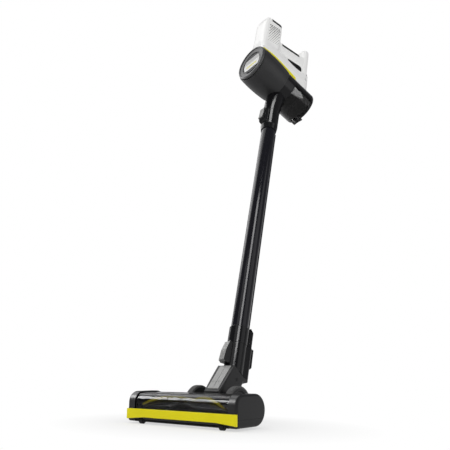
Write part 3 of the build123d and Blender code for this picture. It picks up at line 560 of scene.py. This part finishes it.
@dataclass(frozen=True)
class TreadRubber:
    """Soft tyre rubber with cross treads moulded round the wheel, and painted shade in the grooves between
    them.
    """

    name: str
    colour: Colour
    axle_y: float
    axle_z: float
    roughness: float = 0.6
    specular: float = 0.3
    treads: int = 56
    tread_gain: float = 3.0
    tread_depth: float = 0.4 * MM
    tread_share: float = 0.7
    groove_shade_share: float = 0.55
    dust_size: float = 5.0 * MM
    dust_relief: float = 0.1
    dust_roughness: float = 0.2

    def material(self) -> Material:
        """Builds the finish.

        Returns:
            The material.
        """
        graph = Graph.of_material(self.name)
        _, along, up = graph.parts(graph.place())
        angle = (up - self.axle_z).angle_from(along - self.axle_y)
        tread = ((angle * float(self.treads)).sine() * self.tread_gain + 0.5).clamped()
        dust = graph.noise(self.dust_size, detail=4.0)
        shade = tread * self.tread_share + dust * (1 - self.tread_share)
        return graph.principled({
            # Painted shade: the grooves between the treads are darker.
            "Base Color": graph.mix(shade, dimmed(self.colour, self.groove_shade_share), self.colour),
            "Roughness": (dust * self.dust_roughness + self.roughness).clamped(),
            "Normal": graph.bump(tread + dust * self.dust_relief, self.tread_depth),
            "Specular IOR Level": self.specular,
        })


@dataclass(frozen=True)
class Filament:
    """Nylon bristle that shows its colour near its tip and darkens towards its root: painted shade among the
    packed strands.
    """

    name: str
    colour: Colour
    axis_y: float
    axis_z: float
    root: float
    tip: float
    roughness: float = 0.35
    specular: float = 0.4
    bright_from: float = 0.55
    bright_gain: float = 5.0
    root_shade_share: float = 0.12
    tone_size: float = 1.5 * MM
    tone_depth: float = 0.02 * MM
    tone_share: float = 0.4
    tone_roughness: float = 0.25

    def material(self) -> Material:
        """Builds the finish.

        Returns:
            The material.
        """
        graph = Graph.of_material(self.name)
        _, along, up = graph.parts(graph.place())
        offset_y = along - self.axis_y
        offset_z = up - self.axis_z
        radius = (offset_y * offset_y + offset_z * offset_z) ** 0.5
        reach = ((radius - self.root) / (self.tip - self.root)).clamped()
        tone = graph.noise(self.tone_size)
        # Painted shade: the colour darkens from the tips down to the roots.
        out_of_shade = ((reach - self.bright_from) * self.bright_gain + tone * self.tone_share).clamped()
        return graph.principled({
            "Base Color": graph.mix(out_of_shade, dimmed(self.colour, self.root_shade_share), self.colour),
            "Roughness": tone * self.tone_roughness + self.roughness,
            "Normal": graph.bump(tone, self.tone_depth),
            "Specular IOR Level": self.specular,
        })


@dataclass(frozen=True)
class Pleats:
    """Folded filter paper, with painted shade in the fold valleys."""

    name: str
    colour: Colour
    roughness: float = 0.85
    fold_pitch: float = 2.5 * MM
    fold_depth: float = 0.6 * MM
    fold_share: float = 0.7
    valley_shade_share: float = 0.6
    fibre_size: float = 0.6 * MM
    fibre_roughness: float = 0.1

    def material(self) -> Material:
        """Builds the finish.

        Returns:
            The material.
        """
        graph = Graph.of_material(self.name)
        fold = graph.parts(graph.place())[0].wave(self.fold_pitch)
        fibre = graph.noise(self.fibre_size, detail=3.0)
        shade = fold * self.fold_share + fibre * (1 - self.fold_share)
        return graph.principled({
            # Painted shade: the valleys between folds are darker.
            "Base Color": graph.mix(shade, dimmed(self.colour, self.valley_shade_share), self.colour),
            "Roughness": fibre * self.fibre_roughness + self.roughness,
            "Normal": graph.bump(fold, self.fold_depth),
        })


@dataclass(frozen=True)
class SoftBox:
    """A soft box: where it hangs, its size and power, and the pieces it lights if not all of them."""

    aim: Triple
    way: Triple
    distance: float
    size: Pair
    power: float
    gloss_only: bool = False
    long_side: Triple = (0.0, 0.0, 1.0)
    only: tuple[str, ...] = ()

    def pose(self, hinge: Vector) -> Matrix:
        """Where the box hangs.

        Args:
            hinge: the neck's hinge, which the aim is measured from.

        Returns:
            Its place and turn.
        """
        out = Vector(self.way).normalized()
        side = Vector(self.long_side).cross(out).normalized()
        turn = Matrix((side, out.cross(side), out)).transposed().to_4x4()
        return Matrix.Translation(hinge + Vector(self.aim) + out * self.distance) @ turn


class Lamp(Enum):
    """The studio's soft boxes and reflector cards, aimed at places measured from the neck's hinge."""

    KEY = SoftBox((0.0, 0.05, 0.40), (0.20, -0.85, 0.50), 1.7, (1.3, 1.3), 8.0)
    SIDE_FILL = SoftBox((0.0, 0.15, 0.60), (0.93, 0.15, 0.30), 1.7, (1.2, 1.4), 7.0)
    OVERHEAD = SoftBox((0.0, 0.15, 0.60), (-0.42, -0.10, 0.90), 1.3, (0.7, 1.0), 5.0, False, (1.0, 0.0, 0.3))
    HEAD_CARD = SoftBox((0.0, -0.08, 0.02), (-0.69, 0.05, 0.72), 1.6, (0.6, 0.75), 4.5, True, (1.0, 0.0, 1.0))
    WINDOW_CARD = SoftBox(
        (0.0, -0.10, 0.02), (-0.69, -0.42, 0.59), 1.6, (0.8, 0.55), 44.0, True, (0.3, 0.5, 0.8),
        ("brush_window", "left_end_cap", "right_end_cap"))
    TUBE_CARD = SoftBox(
        (0.0, 0.12, 0.29), (0.491, -0.497, 0.716), 1.48, (0.5, 0.8), 19.0, True, (-0.26, 0.52, 0.81),
        ("suction_tube",))
    CONNECTOR_CARD = SoftBox(
        (0.007, 0.055, 0.125), (0.50, -0.56, 0.66), 1.5, (0.22, 0.5), 9.0, True, (0.75, 0.66, 0.0),
        ("connector_housing", "connector_rear_cover", "tube_lower_collar"))
    EDGE_CARD = SoftBox(
        (0.0, 0.16, 0.42), (-0.86, 0.18, 0.45), 1.5, (0.36, 1.3), 4.4, True, (0.23, 0.43, 0.87))
    BIN_CARD = SoftBox(
        (-0.012, 0.348, 0.83), (0.96, 0.12, -0.05), 1.0, (0.07, 1.1), 2.6, True, (-0.18, 0.48, 0.86),
        ("dust_container",))
    NECK_CARD = SoftBox(
        (0.0, 0.30, 0.78), (0.38, -0.27, 0.88), 1.2, (0.30, 0.5), 8.0, True, (-0.5, -0.4, 0.1),
        ("inlet_neck", "tube_upper_collar"))


@dataclass
class Studio:
    """Floor, background, lamps and camera."""

    hinge: Vector
    nodes: dict[str, Piece]
    camera_offset: Triple = (0.676069, -0.818670, 0.061769)
    camera_forward: Triple = (-0.604727, 0.753356, 0.258380)
    lens: float = 43.26
    sensor: float = 36.0
    near_clip: float = 0.01
    floor_radius: float = 6.0
    floor_sides: int = 48
    paper_tones: tuple[Colour, Colour] = ((0.86, 0.86, 0.86), (0.88, 0.88, 0.88))
    paper_grain: float = 60.0 * MM
    least_glow: float = 0.6
    soft_strength: float = 0.55
    wall_height: float = 0.35
    mirror_top: Colour = (0.22, 0.22, 0.23)
    shadow_size: Pair = (0.16, 0.11)
    shadow_shift: float = -0.04
    shadow_fade: float = 1.1

    def build(self) -> None:
        """Makes the whole studio."""
        self._camera()
        self._floor()
        self._world()
        for lamp in Lamp:
            self._lamp(lamp.name.lower(), lamp.value)

    def _camera(self) -> None:
        """Places the camera at the photograph's viewpoint, measured from the neck's hinge."""
        data = bpy.data.cameras.new("camera")
        data.lens = self.lens
        data.sensor_width = self.sensor
        data.clip_start = self.near_clip
        camera = bpy.data.objects.new("camera", data)
        camera.location = self.hinge + Vector(self.camera_offset)
        camera.rotation_euler = Vector(self.camera_forward).to_track_quat("-Z", "Y").to_euler()
        bpy.context.scene.collection.objects.link(camera)
        bpy.context.scene.camera = camera

    def _floor(self) -> None:
        """Makes the pale floor, which takes the shadow and turns to plain white away from the head."""
        turns = [math.tau * step / self.floor_sides for step in range(self.floor_sides)]
        ring = [Vector((math.cos(turn), math.sin(turn), 0.0)) * self.floor_radius for turn in turns]
        graph = Graph.of_material("floor_white")
        base = graph.mix(graph.noise(self.paper_grain), *self.paper_tones)
        matt = graph.node("ShaderNodeBsdfDiffuse", None, {"Color": base})
        glow = graph.node("ShaderNodeEmission", None, {"Color": WHITE, "Strength": 1.0})
        across, along, _ = graph.parts(graph.place())
        across = (across - self.hinge.x) / self.shadow_size[0]
        along = (along - self.hinge.y - self.shadow_shift) / self.shadow_size[1]
        away = (across * across + along * along) ** 0.5
        clear = ((away - 1.0) / self.shadow_fade).clamped()
        white = graph.ray(*SEEN_RAYS) * (clear * (1 - self.least_glow) + self.least_glow)
        shader = graph.node("ShaderNodeMixShader", None, {0: white, 1: matt.outputs[0], 2: glow.outputs[0]})
        floor = new_piece("floor", ring, [tuple(range(self.floor_sides))], graph.surface(shader.outputs[0]))

    def _world(self) -> None:
        """Makes the white background and the soft light that comes from all round."""
        world = bpy.data.worlds.new("studio")
        bpy.context.scene.world = world
        graph = Graph(world)
        way = graph.node("ShaderNodeTexCoord").outputs["Generated"]
        rise = (graph.parts(way)[2] / self.wall_height).clamped()
        mirrored = graph.mix(rise, WHITE, self.mirror_top)
        colour = graph.mix(graph.ray("Is Camera Ray"), mirrored, WHITE)
        soft = graph.node("ShaderNodeBackground", None, {"Color": WHITE, "Strength": self.soft_strength})
        white = graph.node("ShaderNodeBackground", None, {"Color": colour, "Strength": 1.0})
        sockets = {0: graph.ray(*SEEN_RAYS), 1: soft.outputs[0], 2: white.outputs[0]}
        shader = graph.node("ShaderNodeMixShader", None, sockets)
        graph.surface(shader.outputs[0], "ShaderNodeOutputWorld")

    def _lamp(self, name: str, box: SoftBox) -> None:
        """Hangs one soft box.

        Args:
            name: the lamp's name.
            box: its place, size and power.
        """
        data = bpy.data.lights.new(name, "AREA")
        data.shape = "RECTANGLE"
        data.size, data.size_y = box.size
        data.energy = box.power
        lamp = bpy.data.objects.new(name, data)
        lamp.matrix_world = box.pose(self.hinge)
        lamp.visible_diffuse = not box.gloss_only
        lamp.visible_camera = False
        bpy.context.scene.collection.objects.link(lamp)
        if box.only:
            lit = bpy.data.collections.new(f"{name}_lights")
            for piece in box.only:
                lit.objects.link(self.nodes[piece])
            lamp.light_linking.receiver_collection = lit


@dataclass
class Brush:
    """The roller and its chevron rows, each a line of filament tufts on a backing strip.

    The spreads say how far a strand's root strays along and round the roller, then how far its tip leans
    along it and round it.
    """

    axis: Vector
    yellow_rows: Pair = (52.0, 232.0)
    dark_rows: Pair = (142.0, 322.0)
    half_length: float = 97.0 * MM
    end_margin: float = 0.8 * MM
    root_radius: float = 13.4 * MM
    root_sink: float = 0.5 * MM
    tip_radius: float = 24.4 * MM
    seat_radius: float = 12.0 * MM
    backing_half: float = 2.1 * MM
    backing_steps: int = 48
    slope: float = 0.48
    slope_radius: float = 24.5 * MM
    tufts: int = 60
    strands: int = 12
    strand_radius: float = 0.2 * MM
    strand_taper: tuple[Pair, ...] = ((0.0, 1.0), (0.55, 0.9), (1.0, 0.55))
    lean_power: float = 1.5
    spreads: tuple[float, ...] = (0.75 * MM, 0.9 * MM, 0.5 * MM, 0.05)
    core_sides: int = 48
    core_line: tuple[Pair, ...] = (
        (-121 * MM, 4.4 * MM), (-120.4 * MM, 5.0 * MM), (-103 * MM, 5.0 * MM), (-103 * MM, 12.2 * MM),
        (-102.2 * MM, 13.0 * MM), (102.2 * MM, 13.0 * MM), (103 * MM, 12.2 * MM), (103 * MM, 4.0 * MM),
        (112.4 * MM, 4.0 * MM), (113 * MM, 3.4 * MM),
    )

    def lead(self, start: float, x: float) -> float:
        """A row's angle in radians at a place along the roller, from its angle in degrees at mid length."""
        return math.radians(start) + self.slope * abs(x) / self.slope_radius

    def point(self, x: float, angle: float, radius: float) -> Vector:
        """The point at a place along the roller, an angle round it in radians and a radius."""
        return self.axis + Vector((x, radius * math.cos(angle), radius * math.sin(angle)))

    def _backing(self, start: float, points: list[Vector], faces: list[Face]) -> None:
        """Adds one row's backing strip.

        Args:
            start: the row's angle at mid length, in degrees.
            points: the mesh's points, which grow.
            faces: the mesh's faces, which grow.
        """
        first = len(points)
        swing = self.backing_half / self.root_radius
        corners = (
            (-swing, self.seat_radius), (-swing, self.root_radius),
            (swing, self.root_radius), (swing, self.seat_radius),
        )
        for step in range(self.backing_steps + 1):
            x = self.half_length * (2 * step / self.backing_steps - 1)
            angle = self.lead(start, x)
            points += [self.point(x, angle + turn, radius) for turn, radius in corners]
        last = len(points) - 4
        for low in range(first, last, 4):
            faces += quads(low, low + 4, 4)
        faces.append((first, first + 1, first + 2, first + 3))
        faces.append((last + 3, last + 2, last + 1, last))

    def _strand(
        self, x: float, angle: float, lean: Sequence[float], points: list[Vector], faces: list[Face],
    ) -> None:
        """Adds one tapered filament.

        Args:
            x: its root's place along the roller.
            angle: its root's angle, in radians.
            lean: how far its tip leans along the roller, in metres, and round it, in radians.
            points: the mesh's points, which grow.
            faces: the mesh's faces, which grow.
        """
        first = len(points)
        length = self.tip_radius - self.root_radius + self.root_sink
        for part, thick in self.strand_taper:
            bend = part ** self.lean_power
            radius = self.root_radius - self.root_sink + part * length
            middle = self.point(x + lean[0] * bend, angle + lean[1] * bend, radius)
            across = Vector((1, 0, 0)) * self.strand_radius * thick
            around = Vector((0, -math.sin(angle), math.cos(angle))) * self.strand_radius * thick
            points.extend((middle + across, middle + around, middle - across, middle - around))
        for low in (first, first + 4):
            faces += quads(low, low + 4, 4)
        faces.append((first + 8, first + 9, first + 10, first + 11))

    def rows(self, node: str, starts: Iterable[float], finish: Filament) -> Piece:
        """Makes the rows of one colour, which stand for the CAD bristles.

        Args:
            node: the CAD node that they replace.
            starts: each row's angle at mid length, in degrees.
            finish: the filament's finish.

        Returns:
            The new piece.
        """
        chance = random.Random(node)
        points: list[Vector] = []
        faces: list[Face] = []
        for start in starts:
            self._backing(start, points, faces)
            for side in (-1, 1):
                for tuft in range(self.tufts):
                    x = side * (tuft + 0.5) * (self.half_length - self.end_margin) / self.tufts
                    for _ in range(self.strands):
                        spot, turn, *lean = (chance.uniform(-spread, spread) for spread in self.spreads)
                        angle = self.lead(start, x) + turn / self.root_radius
                        self._strand(x + spot, angle, lean, points, faces)
        piece = new_piece(f"{node}_tufts", points, faces, finish.material())
        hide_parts(node)
        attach(piece, "brush_roller")
        return piece

    def core(self, material: Material) -> None:
        """Makes the roller that carries the rows, turned with its end shafts.

        Args:
            material: the roller's finish.
        """
        sides = self.core_sides
        turns = [math.tau * step / sides for step in range(sides)]
        points = [self.point(x, turn, radius) for x, radius in self.core_line for turn in turns]
        last = len(points) - sides
        faces: list[Face] = []
        for low in range(0, last, sides):
            for step in range(sides):
                after = (step + 1) % sides
                faces.append((low + step, low + sides + step, low + sides + after, low + after))
        faces.append(tuple(range(sides)))
        faces.append(tuple(range(last, len(points)))[::-1])
        piece = new_piece("brush_core", points, faces, material)
        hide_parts("roller_core")
        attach(piece, "brush_roller")

    def build(self) -> None:
        """Makes the roller and both colours of bristle."""
        self.core(Moulding("roller_black", (0.010, 0.010, 0.011), 0.45, specular=0.15).material())
        reach = (self.axis.y, self.axis.z, self.root_radius, self.tip_radius)
        yellow = Filament("yellow_filament", (0.90, 0.80, 0.02), *reach)
        self.rows("yellow_bristles", self.yellow_rows, yellow)
        dark = Filament("dark_filament", (0.03, 0.03, 0.032), *reach)
        self.rows("dark_bristles", self.dark_rows, dark)


@dataclass(frozen=True)
class HandFrame:
    """The hand unit's frame at rest: x to its right, y backwards and z up the tube."""

    hinge: Vector
    neck_lean: float = math.radians(39.0)
    neck_length: float = 80.0 * MM
    neck_twist: float = math.radians(-14.0)
    tube_lean: float = math.radians(19.5)

    def matrix(self) -> Matrix:
        """The frame's place and turn.

        Returns:
            The matrix from the hand frame to the model's frame.
        """
        neck = Vector((0, math.sin(self.neck_lean), math.cos(self.neck_lean)))
        twist = Matrix.Rotation(self.neck_twist, 3, neck)
        right = twist @ Vector((1, 0, 0))
        up = twist @ Vector((0, math.sin(self.tube_lean), math.cos(self.tube_lean)))
        turn = Matrix((right, up.cross(right), up)).transposed().to_4x4()
        return Matrix.Translation(self.hinge + neck * self.neck_length) @ turn

    def leaning(self, back: float, height: float, lean: float) -> Matrix:
        """A frame on the middle plane, back and up the tube, with its y axis tipped up by lean in radians."""
        return self.matrix() @ Matrix.Translation((0, back, height)) @ Matrix.Rotation(lean, 4, "X")


@dataclass
class GripSkin:
    """The black soft strip that is moulded over the top of the grip bar and round its upper corners."""

    frame: HandFrame
    back: float = 18.0 * MM
    height: float = 967.0 * MM
    lean: float = math.radians(11.0)
    bar_width: float = 32.0 * MM
    bar_height: float = 50.0 * MM
    corner: float = 13.0 * MM
    start: float = -24.0 * MM
    end: float = 48.0 * MM
    proud: float = 0.5 * MM
    sunk: float = 1.6 * MM
    skirt: float = 3.0 * MM
    shoulder_drop: float = 0.6 * MM
    shoulder_length: float = 0.8 * MM
    corner_steps: int = 8

    def _arc(self, grow: float) -> list[Pair]:
        """The strip's section line from one side over the top to the other.

        Args:
            grow: how far it lies outside the bar.

        Returns:
            Points across the bar and up from its middle.
        """
        reach = self.bar_width / 2 - self.corner
        rise = self.bar_height / 2 - self.corner
        radius = self.corner + grow
        line = [(reach + radius, rise - self.skirt)]
        for side, first in ((1, 0.0), (-1, math.pi / 2)):
            for step in range(self.corner_steps + 1):
                angle = first + math.pi / 2 * step / self.corner_steps
                line.append((side * reach + radius * math.cos(angle), rise + radius * math.sin(angle)))
        line.append((-reach - radius, rise - self.skirt))
        return line

    def build(self, material: Material) -> None:
        """Makes the strip, which stands for the CAD strip.

        Args:
            material: what it is moulded from.
        """
        place = self.frame.leaning(self.back, self.height, self.lean)
        under = self._arc(-self.sunk)[::-1]
        ring = self._arc(self.proud) + under
        shoulder = self._arc(self.proud - self.shoulder_drop) + under
        stations = (
            (self.start, shoulder), (self.start + self.shoulder_length, ring),
            (self.end - self.shoulder_length, ring), (self.end, shoulder),
        )
        points = [place @ Vector((x, along, z)) for along, section in stations for x, z in section]
        count = len(ring)
        last = len(points) - count
        faces: list[Face] = [tuple(range(count)), tuple(range(last, len(points)))[::-1]]
        for low in range(0, last, count):
            for index in range(count):
                after = (index + 1) % count
                faces.append((low + after, low + index, low + count + index, low + count + after))
        piece = new_piece("grip_skin", points, faces, material)
        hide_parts("grip_strip")
        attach(piece, "hand_unit")


@dataclass
class TrimBand:
    """The yellow band along the white shell's foot: as tall as in the photo, just proud of the shell."""

    frame: HandFrame
    body_height: float = 819.9 * MM
    body_droop: float = math.radians(7.15)
    foot: float = 29.2 * MM
    tops: tuple[Pair, ...] = (
        (-95 * MM, 5.4 * MM), (-60 * MM, 7.5 * MM), (-30 * MM, 9.5 * MM), (33 * MM, 10.0 * MM))
    levels: tuple[float, ...] = (0.0, 0.5, 1.0)
    step: float = 3.7 * MM
    proud: float = 0.3 * MM
    thickness: float = 1.2 * MM
    reach: float = 90.0 * MM

    def _height(self, along: float) -> float:
        """The band's height at a place along the body.

        Args:
            along: the place.

        Returns:
            The height.
        """
        for (low, start), (high, end) in zip(self.tops, self.tops[1:]):
            if along <= high:
                return start + (end - start) * max(0.0, along - low) / (high - low)
        return self.tops[-1][1]

    def _outside(self, place: Matrix, side: int, along: float, up: float, under: list[Piece]) -> float:
        """How far from the middle the surface under the band lies.

        Args:
            place: the body's frame.
            side: the side of the body, 1 or -1.
            along: the place along the body.
            up: the place up it.
            under: the CAD pieces that the band lies on.

        Returns:
            The surface's distance from the middle, or 0 where nothing is met.
        """
        start = place @ Vector((side * self.reach, along, up))
        inwards = place.to_3x3() @ Vector((-side, 0, 0))
        far = 0.0
        for piece in under:
            met, spot, _, _ = piece.ray_cast(start, inwards)
            if met:
                far = max(far, self.reach - (spot - start).length)
        return far

    def build(self, under: list[Piece], material: Material) -> None:
        """Makes the band on both sides as one piece.

        Args:
            under: the CAD pieces that it lies on.
            material: what it is moulded from.
        """
        bpy.context.view_layer.update()
        place = self.frame.leaning(0.0, self.body_height, -self.body_droop)
        first, last = self.tops[0][0], self.tops[-1][0]
        count = round((last - first) / self.step)
        corners = 2 * len(self.levels)
        points: list[Vector] = []
        faces: list[Face] = []
        for side in (1, -1):
            begin = len(points)
            for index in range(count + 1):
                along = first + (last - first) * index / count
                ups = [self.foot + self._height(along) * level for level in self.levels]
                met = [self._outside(place, side, along, up, under) for up in ups]
                outer = [((far or max(met)) + self.proud, up) for far, up in zip(met, ups)]
                inner = [(out - self.thickness, up) for out, up in outer[::-1]]
                points += [place @ Vector((side * out, along, up)) for out, up in outer + inner]
            end = len(points) - corners
            for low in range(begin, end, corners):
                faces += [face[::-side] for face in quads(low, low + corners, corners)]
            faces.append(tuple(range(begin, begin + corners))[::side])
            faces.append(tuple(range(end, end + corners))[::-side])
        piece = new_piece("trim_band", points, faces, material)
        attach(piece, "hand_unit")


@dataclass
class VentHoleShade:
    """Painted shade for the tower's vents: one dark six-sided plug on the shell over each hole, on both
    sides, standing for the dark inside of the hole.
    """

    frame: HandFrame
    columns: int = 6
    rows: int = 11
    front: float = -67.0 * MM
    top: float = 1002.0 * MM
    pitch: float = 6.6 * MM
    rise: float = 0.28
    top_radius: float = 2.6 * MM
    low_radius: float = 1.1 * MM
    wall_place: float = 24.4 * MM
    sunk: float = -0.05 * MM
    depth: float = 1.2 * MM
    corners: int = 6

    def _holes(self) -> Iterable[Triple]:
        """Lays out the holes, which shrink from the top row down.

        Returns:
            Each hole's place backwards and up the tube, and its radius.
        """
        for row in range(self.rows):
            radius = self.top_radius + (self.low_radius - self.top_radius) * row / (self.rows - 1)
            for column in range(self.columns):
                along = (column + 0.5 * (row % 2)) * self.pitch
                yield self.front + along, self.top - row * self.pitch + self.rise * along, radius

    def build(self, material: Material) -> None:
        """Makes the plugs as one piece.

        Args:
            material: the plugs' finish, which paints the shade.
        """
        place = self.frame.matrix()
        turns = [math.tau * corner / self.corners for corner in range(self.corners)]
        points: list[Vector] = []
        faces: list[Face] = []
        for side in (1, -1):
            for back, height, radius in self._holes():
                first = len(points)
                for inset in (self.sunk, self.sunk + self.depth):
                    for turn in turns:
                        spot = (back + radius * math.cos(turn), height + radius * math.sin(turn))
                        points.append(place @ Vector((side * (self.wall_place - inset), *spot)))
                outer = tuple(range(first, first + self.corners))
                inner = tuple(corner + self.corners for corner in outer)
                faces += [outer[::side], inner[::-side]]
                for index in range(self.corners):
                    after = (index + 1) % self.corners
                    wall = (outer[index], inner[index], inner[after], outer[after])
                    faces.append(wall[::side])
        piece = new_piece("vent_hole_shade", points, faces, material)
        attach(piece, "hand_unit")


@dataclass
class Wardrobe:
    """Which finish each CAD node wears."""

    nodes: dict[str, Piece]
    axle: Vector
    plate: tuple[Way, ...]
    front: Way
    tube_up: Way

    def finishes(self) -> dict[Any, tuple[str, ...]]:
        """The finishes, each with the nodes that wear it.

        Returns:
            Finish to node names.
        """
        return {
            Moulding("white_shell", (0.86, 0.86, 0.85), 0.30, mottle=0.012, edge_lift=0.0): (
                "handle_shell_left", "handle_shell_right"),
            Moulding("satin_grey", (0.022, 0.022, 0.023), 0.42, specular=0.20, depth=0.02 * MM): (
                "motor_housing",),
            Moulding("gloss_black", (0.006, 0.006, 0.007), 0.16, specular=0.16): (
                "connector_housing", "connector_rear_cover", "tube_lower_collar", "tube_upper_collar",
                "inlet_neck", "top_trim"),
            Moulding("satin_black", (0.012, 0.012, 0.013), 0.34, specular=0.18): (
                "head_housing", "left_end_cap", "right_end_cap", "elbow_housing",
                "rear_wheel_left", "rear_wheel_right"),
            # The bezel's strong edge lift paints a highlight along the rim's edges.
            Moulding("bezel_grey", (0.055, 0.055, 0.056), 0.30, specular=0.3, edge_lift=0.25): (
                "front_bezel", "rim_ring"),
            Moulding("matte_black", (0.010, 0.010, 0.011), 0.55, specular=0.15, depth=0.03 * MM): (
                "sole_plate", "brush_bushes", "roller_core", "roller_pulley", "motor_pulley", "trigger",
                "bin_release", "grip_strip", "grip_underside", "charge_jack", "motor_mount",
                "front_roller_left", "front_roller_right", "swivel_spigot", "filter_cone", "drive_belt",
                "power_cable", "bin_seal", "top_button", "neck_screws"),
            Moulding("tube_paint", (0.007, 0.0068, 0.010), 0.12, specular=0.18, grain=2.5 * MM,
                     depth=0.0012 * MM): ("suction_tube",),
            Moulding("yellow_moulding", (0.80, 0.715, 0.006), 0.36, specular=0.15, edge_lift=0.04): (
                "bumper_strip", "yellow_trim"),
            # Painted reflection: the elbow cover's grey stands for an overhead card reflected in its dark
            # plastic.
            Moulding("light_grey", (0.31, 0.31, 0.305), 0.40, specular=0.3, edge_lift=0.1): (
                "elbow_cover",),
            # The latches' grey front faces are a painted reflection.
            LatchFace("latch_painted_reflection", self.front, self.tube_up): ("head_latch", "tube_latch"),
            Moulding("board_green", (0.02, 0.12, 0.05), 0.4): ("control_board",),
            SmokedMoulding("smoked_window", (0.46, 0.46, 0.465), 1.16): ("brush_window",),
            SmokedMoulding("smoked_bin", (0.13, 0.13, 0.13), 1.25): ("dust_container",),
            SmokedMoulding("smoked_flap", (0.04, 0.04, 0.04), 1.2): ("bin_flap",),
            TreadRubber("tyre_rubber", (0.10, 0.10, 0.10), self.axle.y, self.axle.z): (
                "rear_tyre_left", "rear_tyre_right"),
            StripedPlate("striped_plate", *self.plate): ("front_plate",),
            Metal("turned_steel", (0.55, 0.55, 0.56), 0.28, streak=(8.0, 1.0, 1.0)): (
                "wheel_axles", "sole_screws", "flap_pin", "brush_motor"),
            Metal("light_metal", (0.60, 0.61, 0.62), 0.30): ("fan_motor", "impeller", "battery_cells"),
            Pleats("charcoal_filter", (0.012, 0.012, 0.013)): ("exhaust_filter",),
        }

    def dress(self) -> None:
        """Gives every node its finish."""
        for finish, names in self.finishes().items():
            material = finish.material()
            for name in names:
                slots = self.nodes[name].data.materials
                slots.clear()
                slots.append(material)
                LOG.info("%s wears %s", name, material.name)


def joint_place(frame: dict[str, Any], name: str) -> Vector:
    """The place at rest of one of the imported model's joints."""
    joints = frame["record"]["behaviour"]["joints"]
    return Vector(next(joint["pos_m"] for joint in joints if joint["name"] == name))


def main() -> None:
    """Builds the studio and dresses the model."""
    logging.basicConfig(level=logging.INFO, format="%(name)s: %(message)s")
    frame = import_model()
    bpy.context.scene.view_settings.view_transform = "Standard"
    hinge = joint_place(frame, "head_pitch")
    Studio(hinge, frame["nodes"]).build()
    hand = HandFrame(hinge)
    low, high = (Vector(corner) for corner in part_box("front_plate"))
    turn = hand.leaning(0.0, 0.0, FACE_LEAN).to_3x3()
    plate = (tuple((low + high) / 2), tuple(turn.col[0]), tuple(turn.col[2]))
    upright = hand.matrix().to_3x3()
    Wardrobe(frame["nodes"], hinge, plate, tuple(-upright.col[1]), tuple(upright.col[2])).dress()
    under = [frame["nodes"][name] for name in ("handle_shell_left", "handle_shell_right", "yellow_trim")]
    TrimBand(hand).build(under, under[-1].data.materials[0])
    # Painted shade: the near-black plugs stand for the dark inside of the vent holes.
    VentHoleShade(hand).build(Moulding("vent_painted_shade", (0.006, 0.006, 0.006), 0.7, specular=0.1).material())
    GripSkin(hand).build(Moulding("grip_rubber", (0.010, 0.010, 0.010), 0.62, specular=0.12).material())
    Brush(joint_place(frame, "brush_spin")).build()


if __name__ == "__main__":
    main()
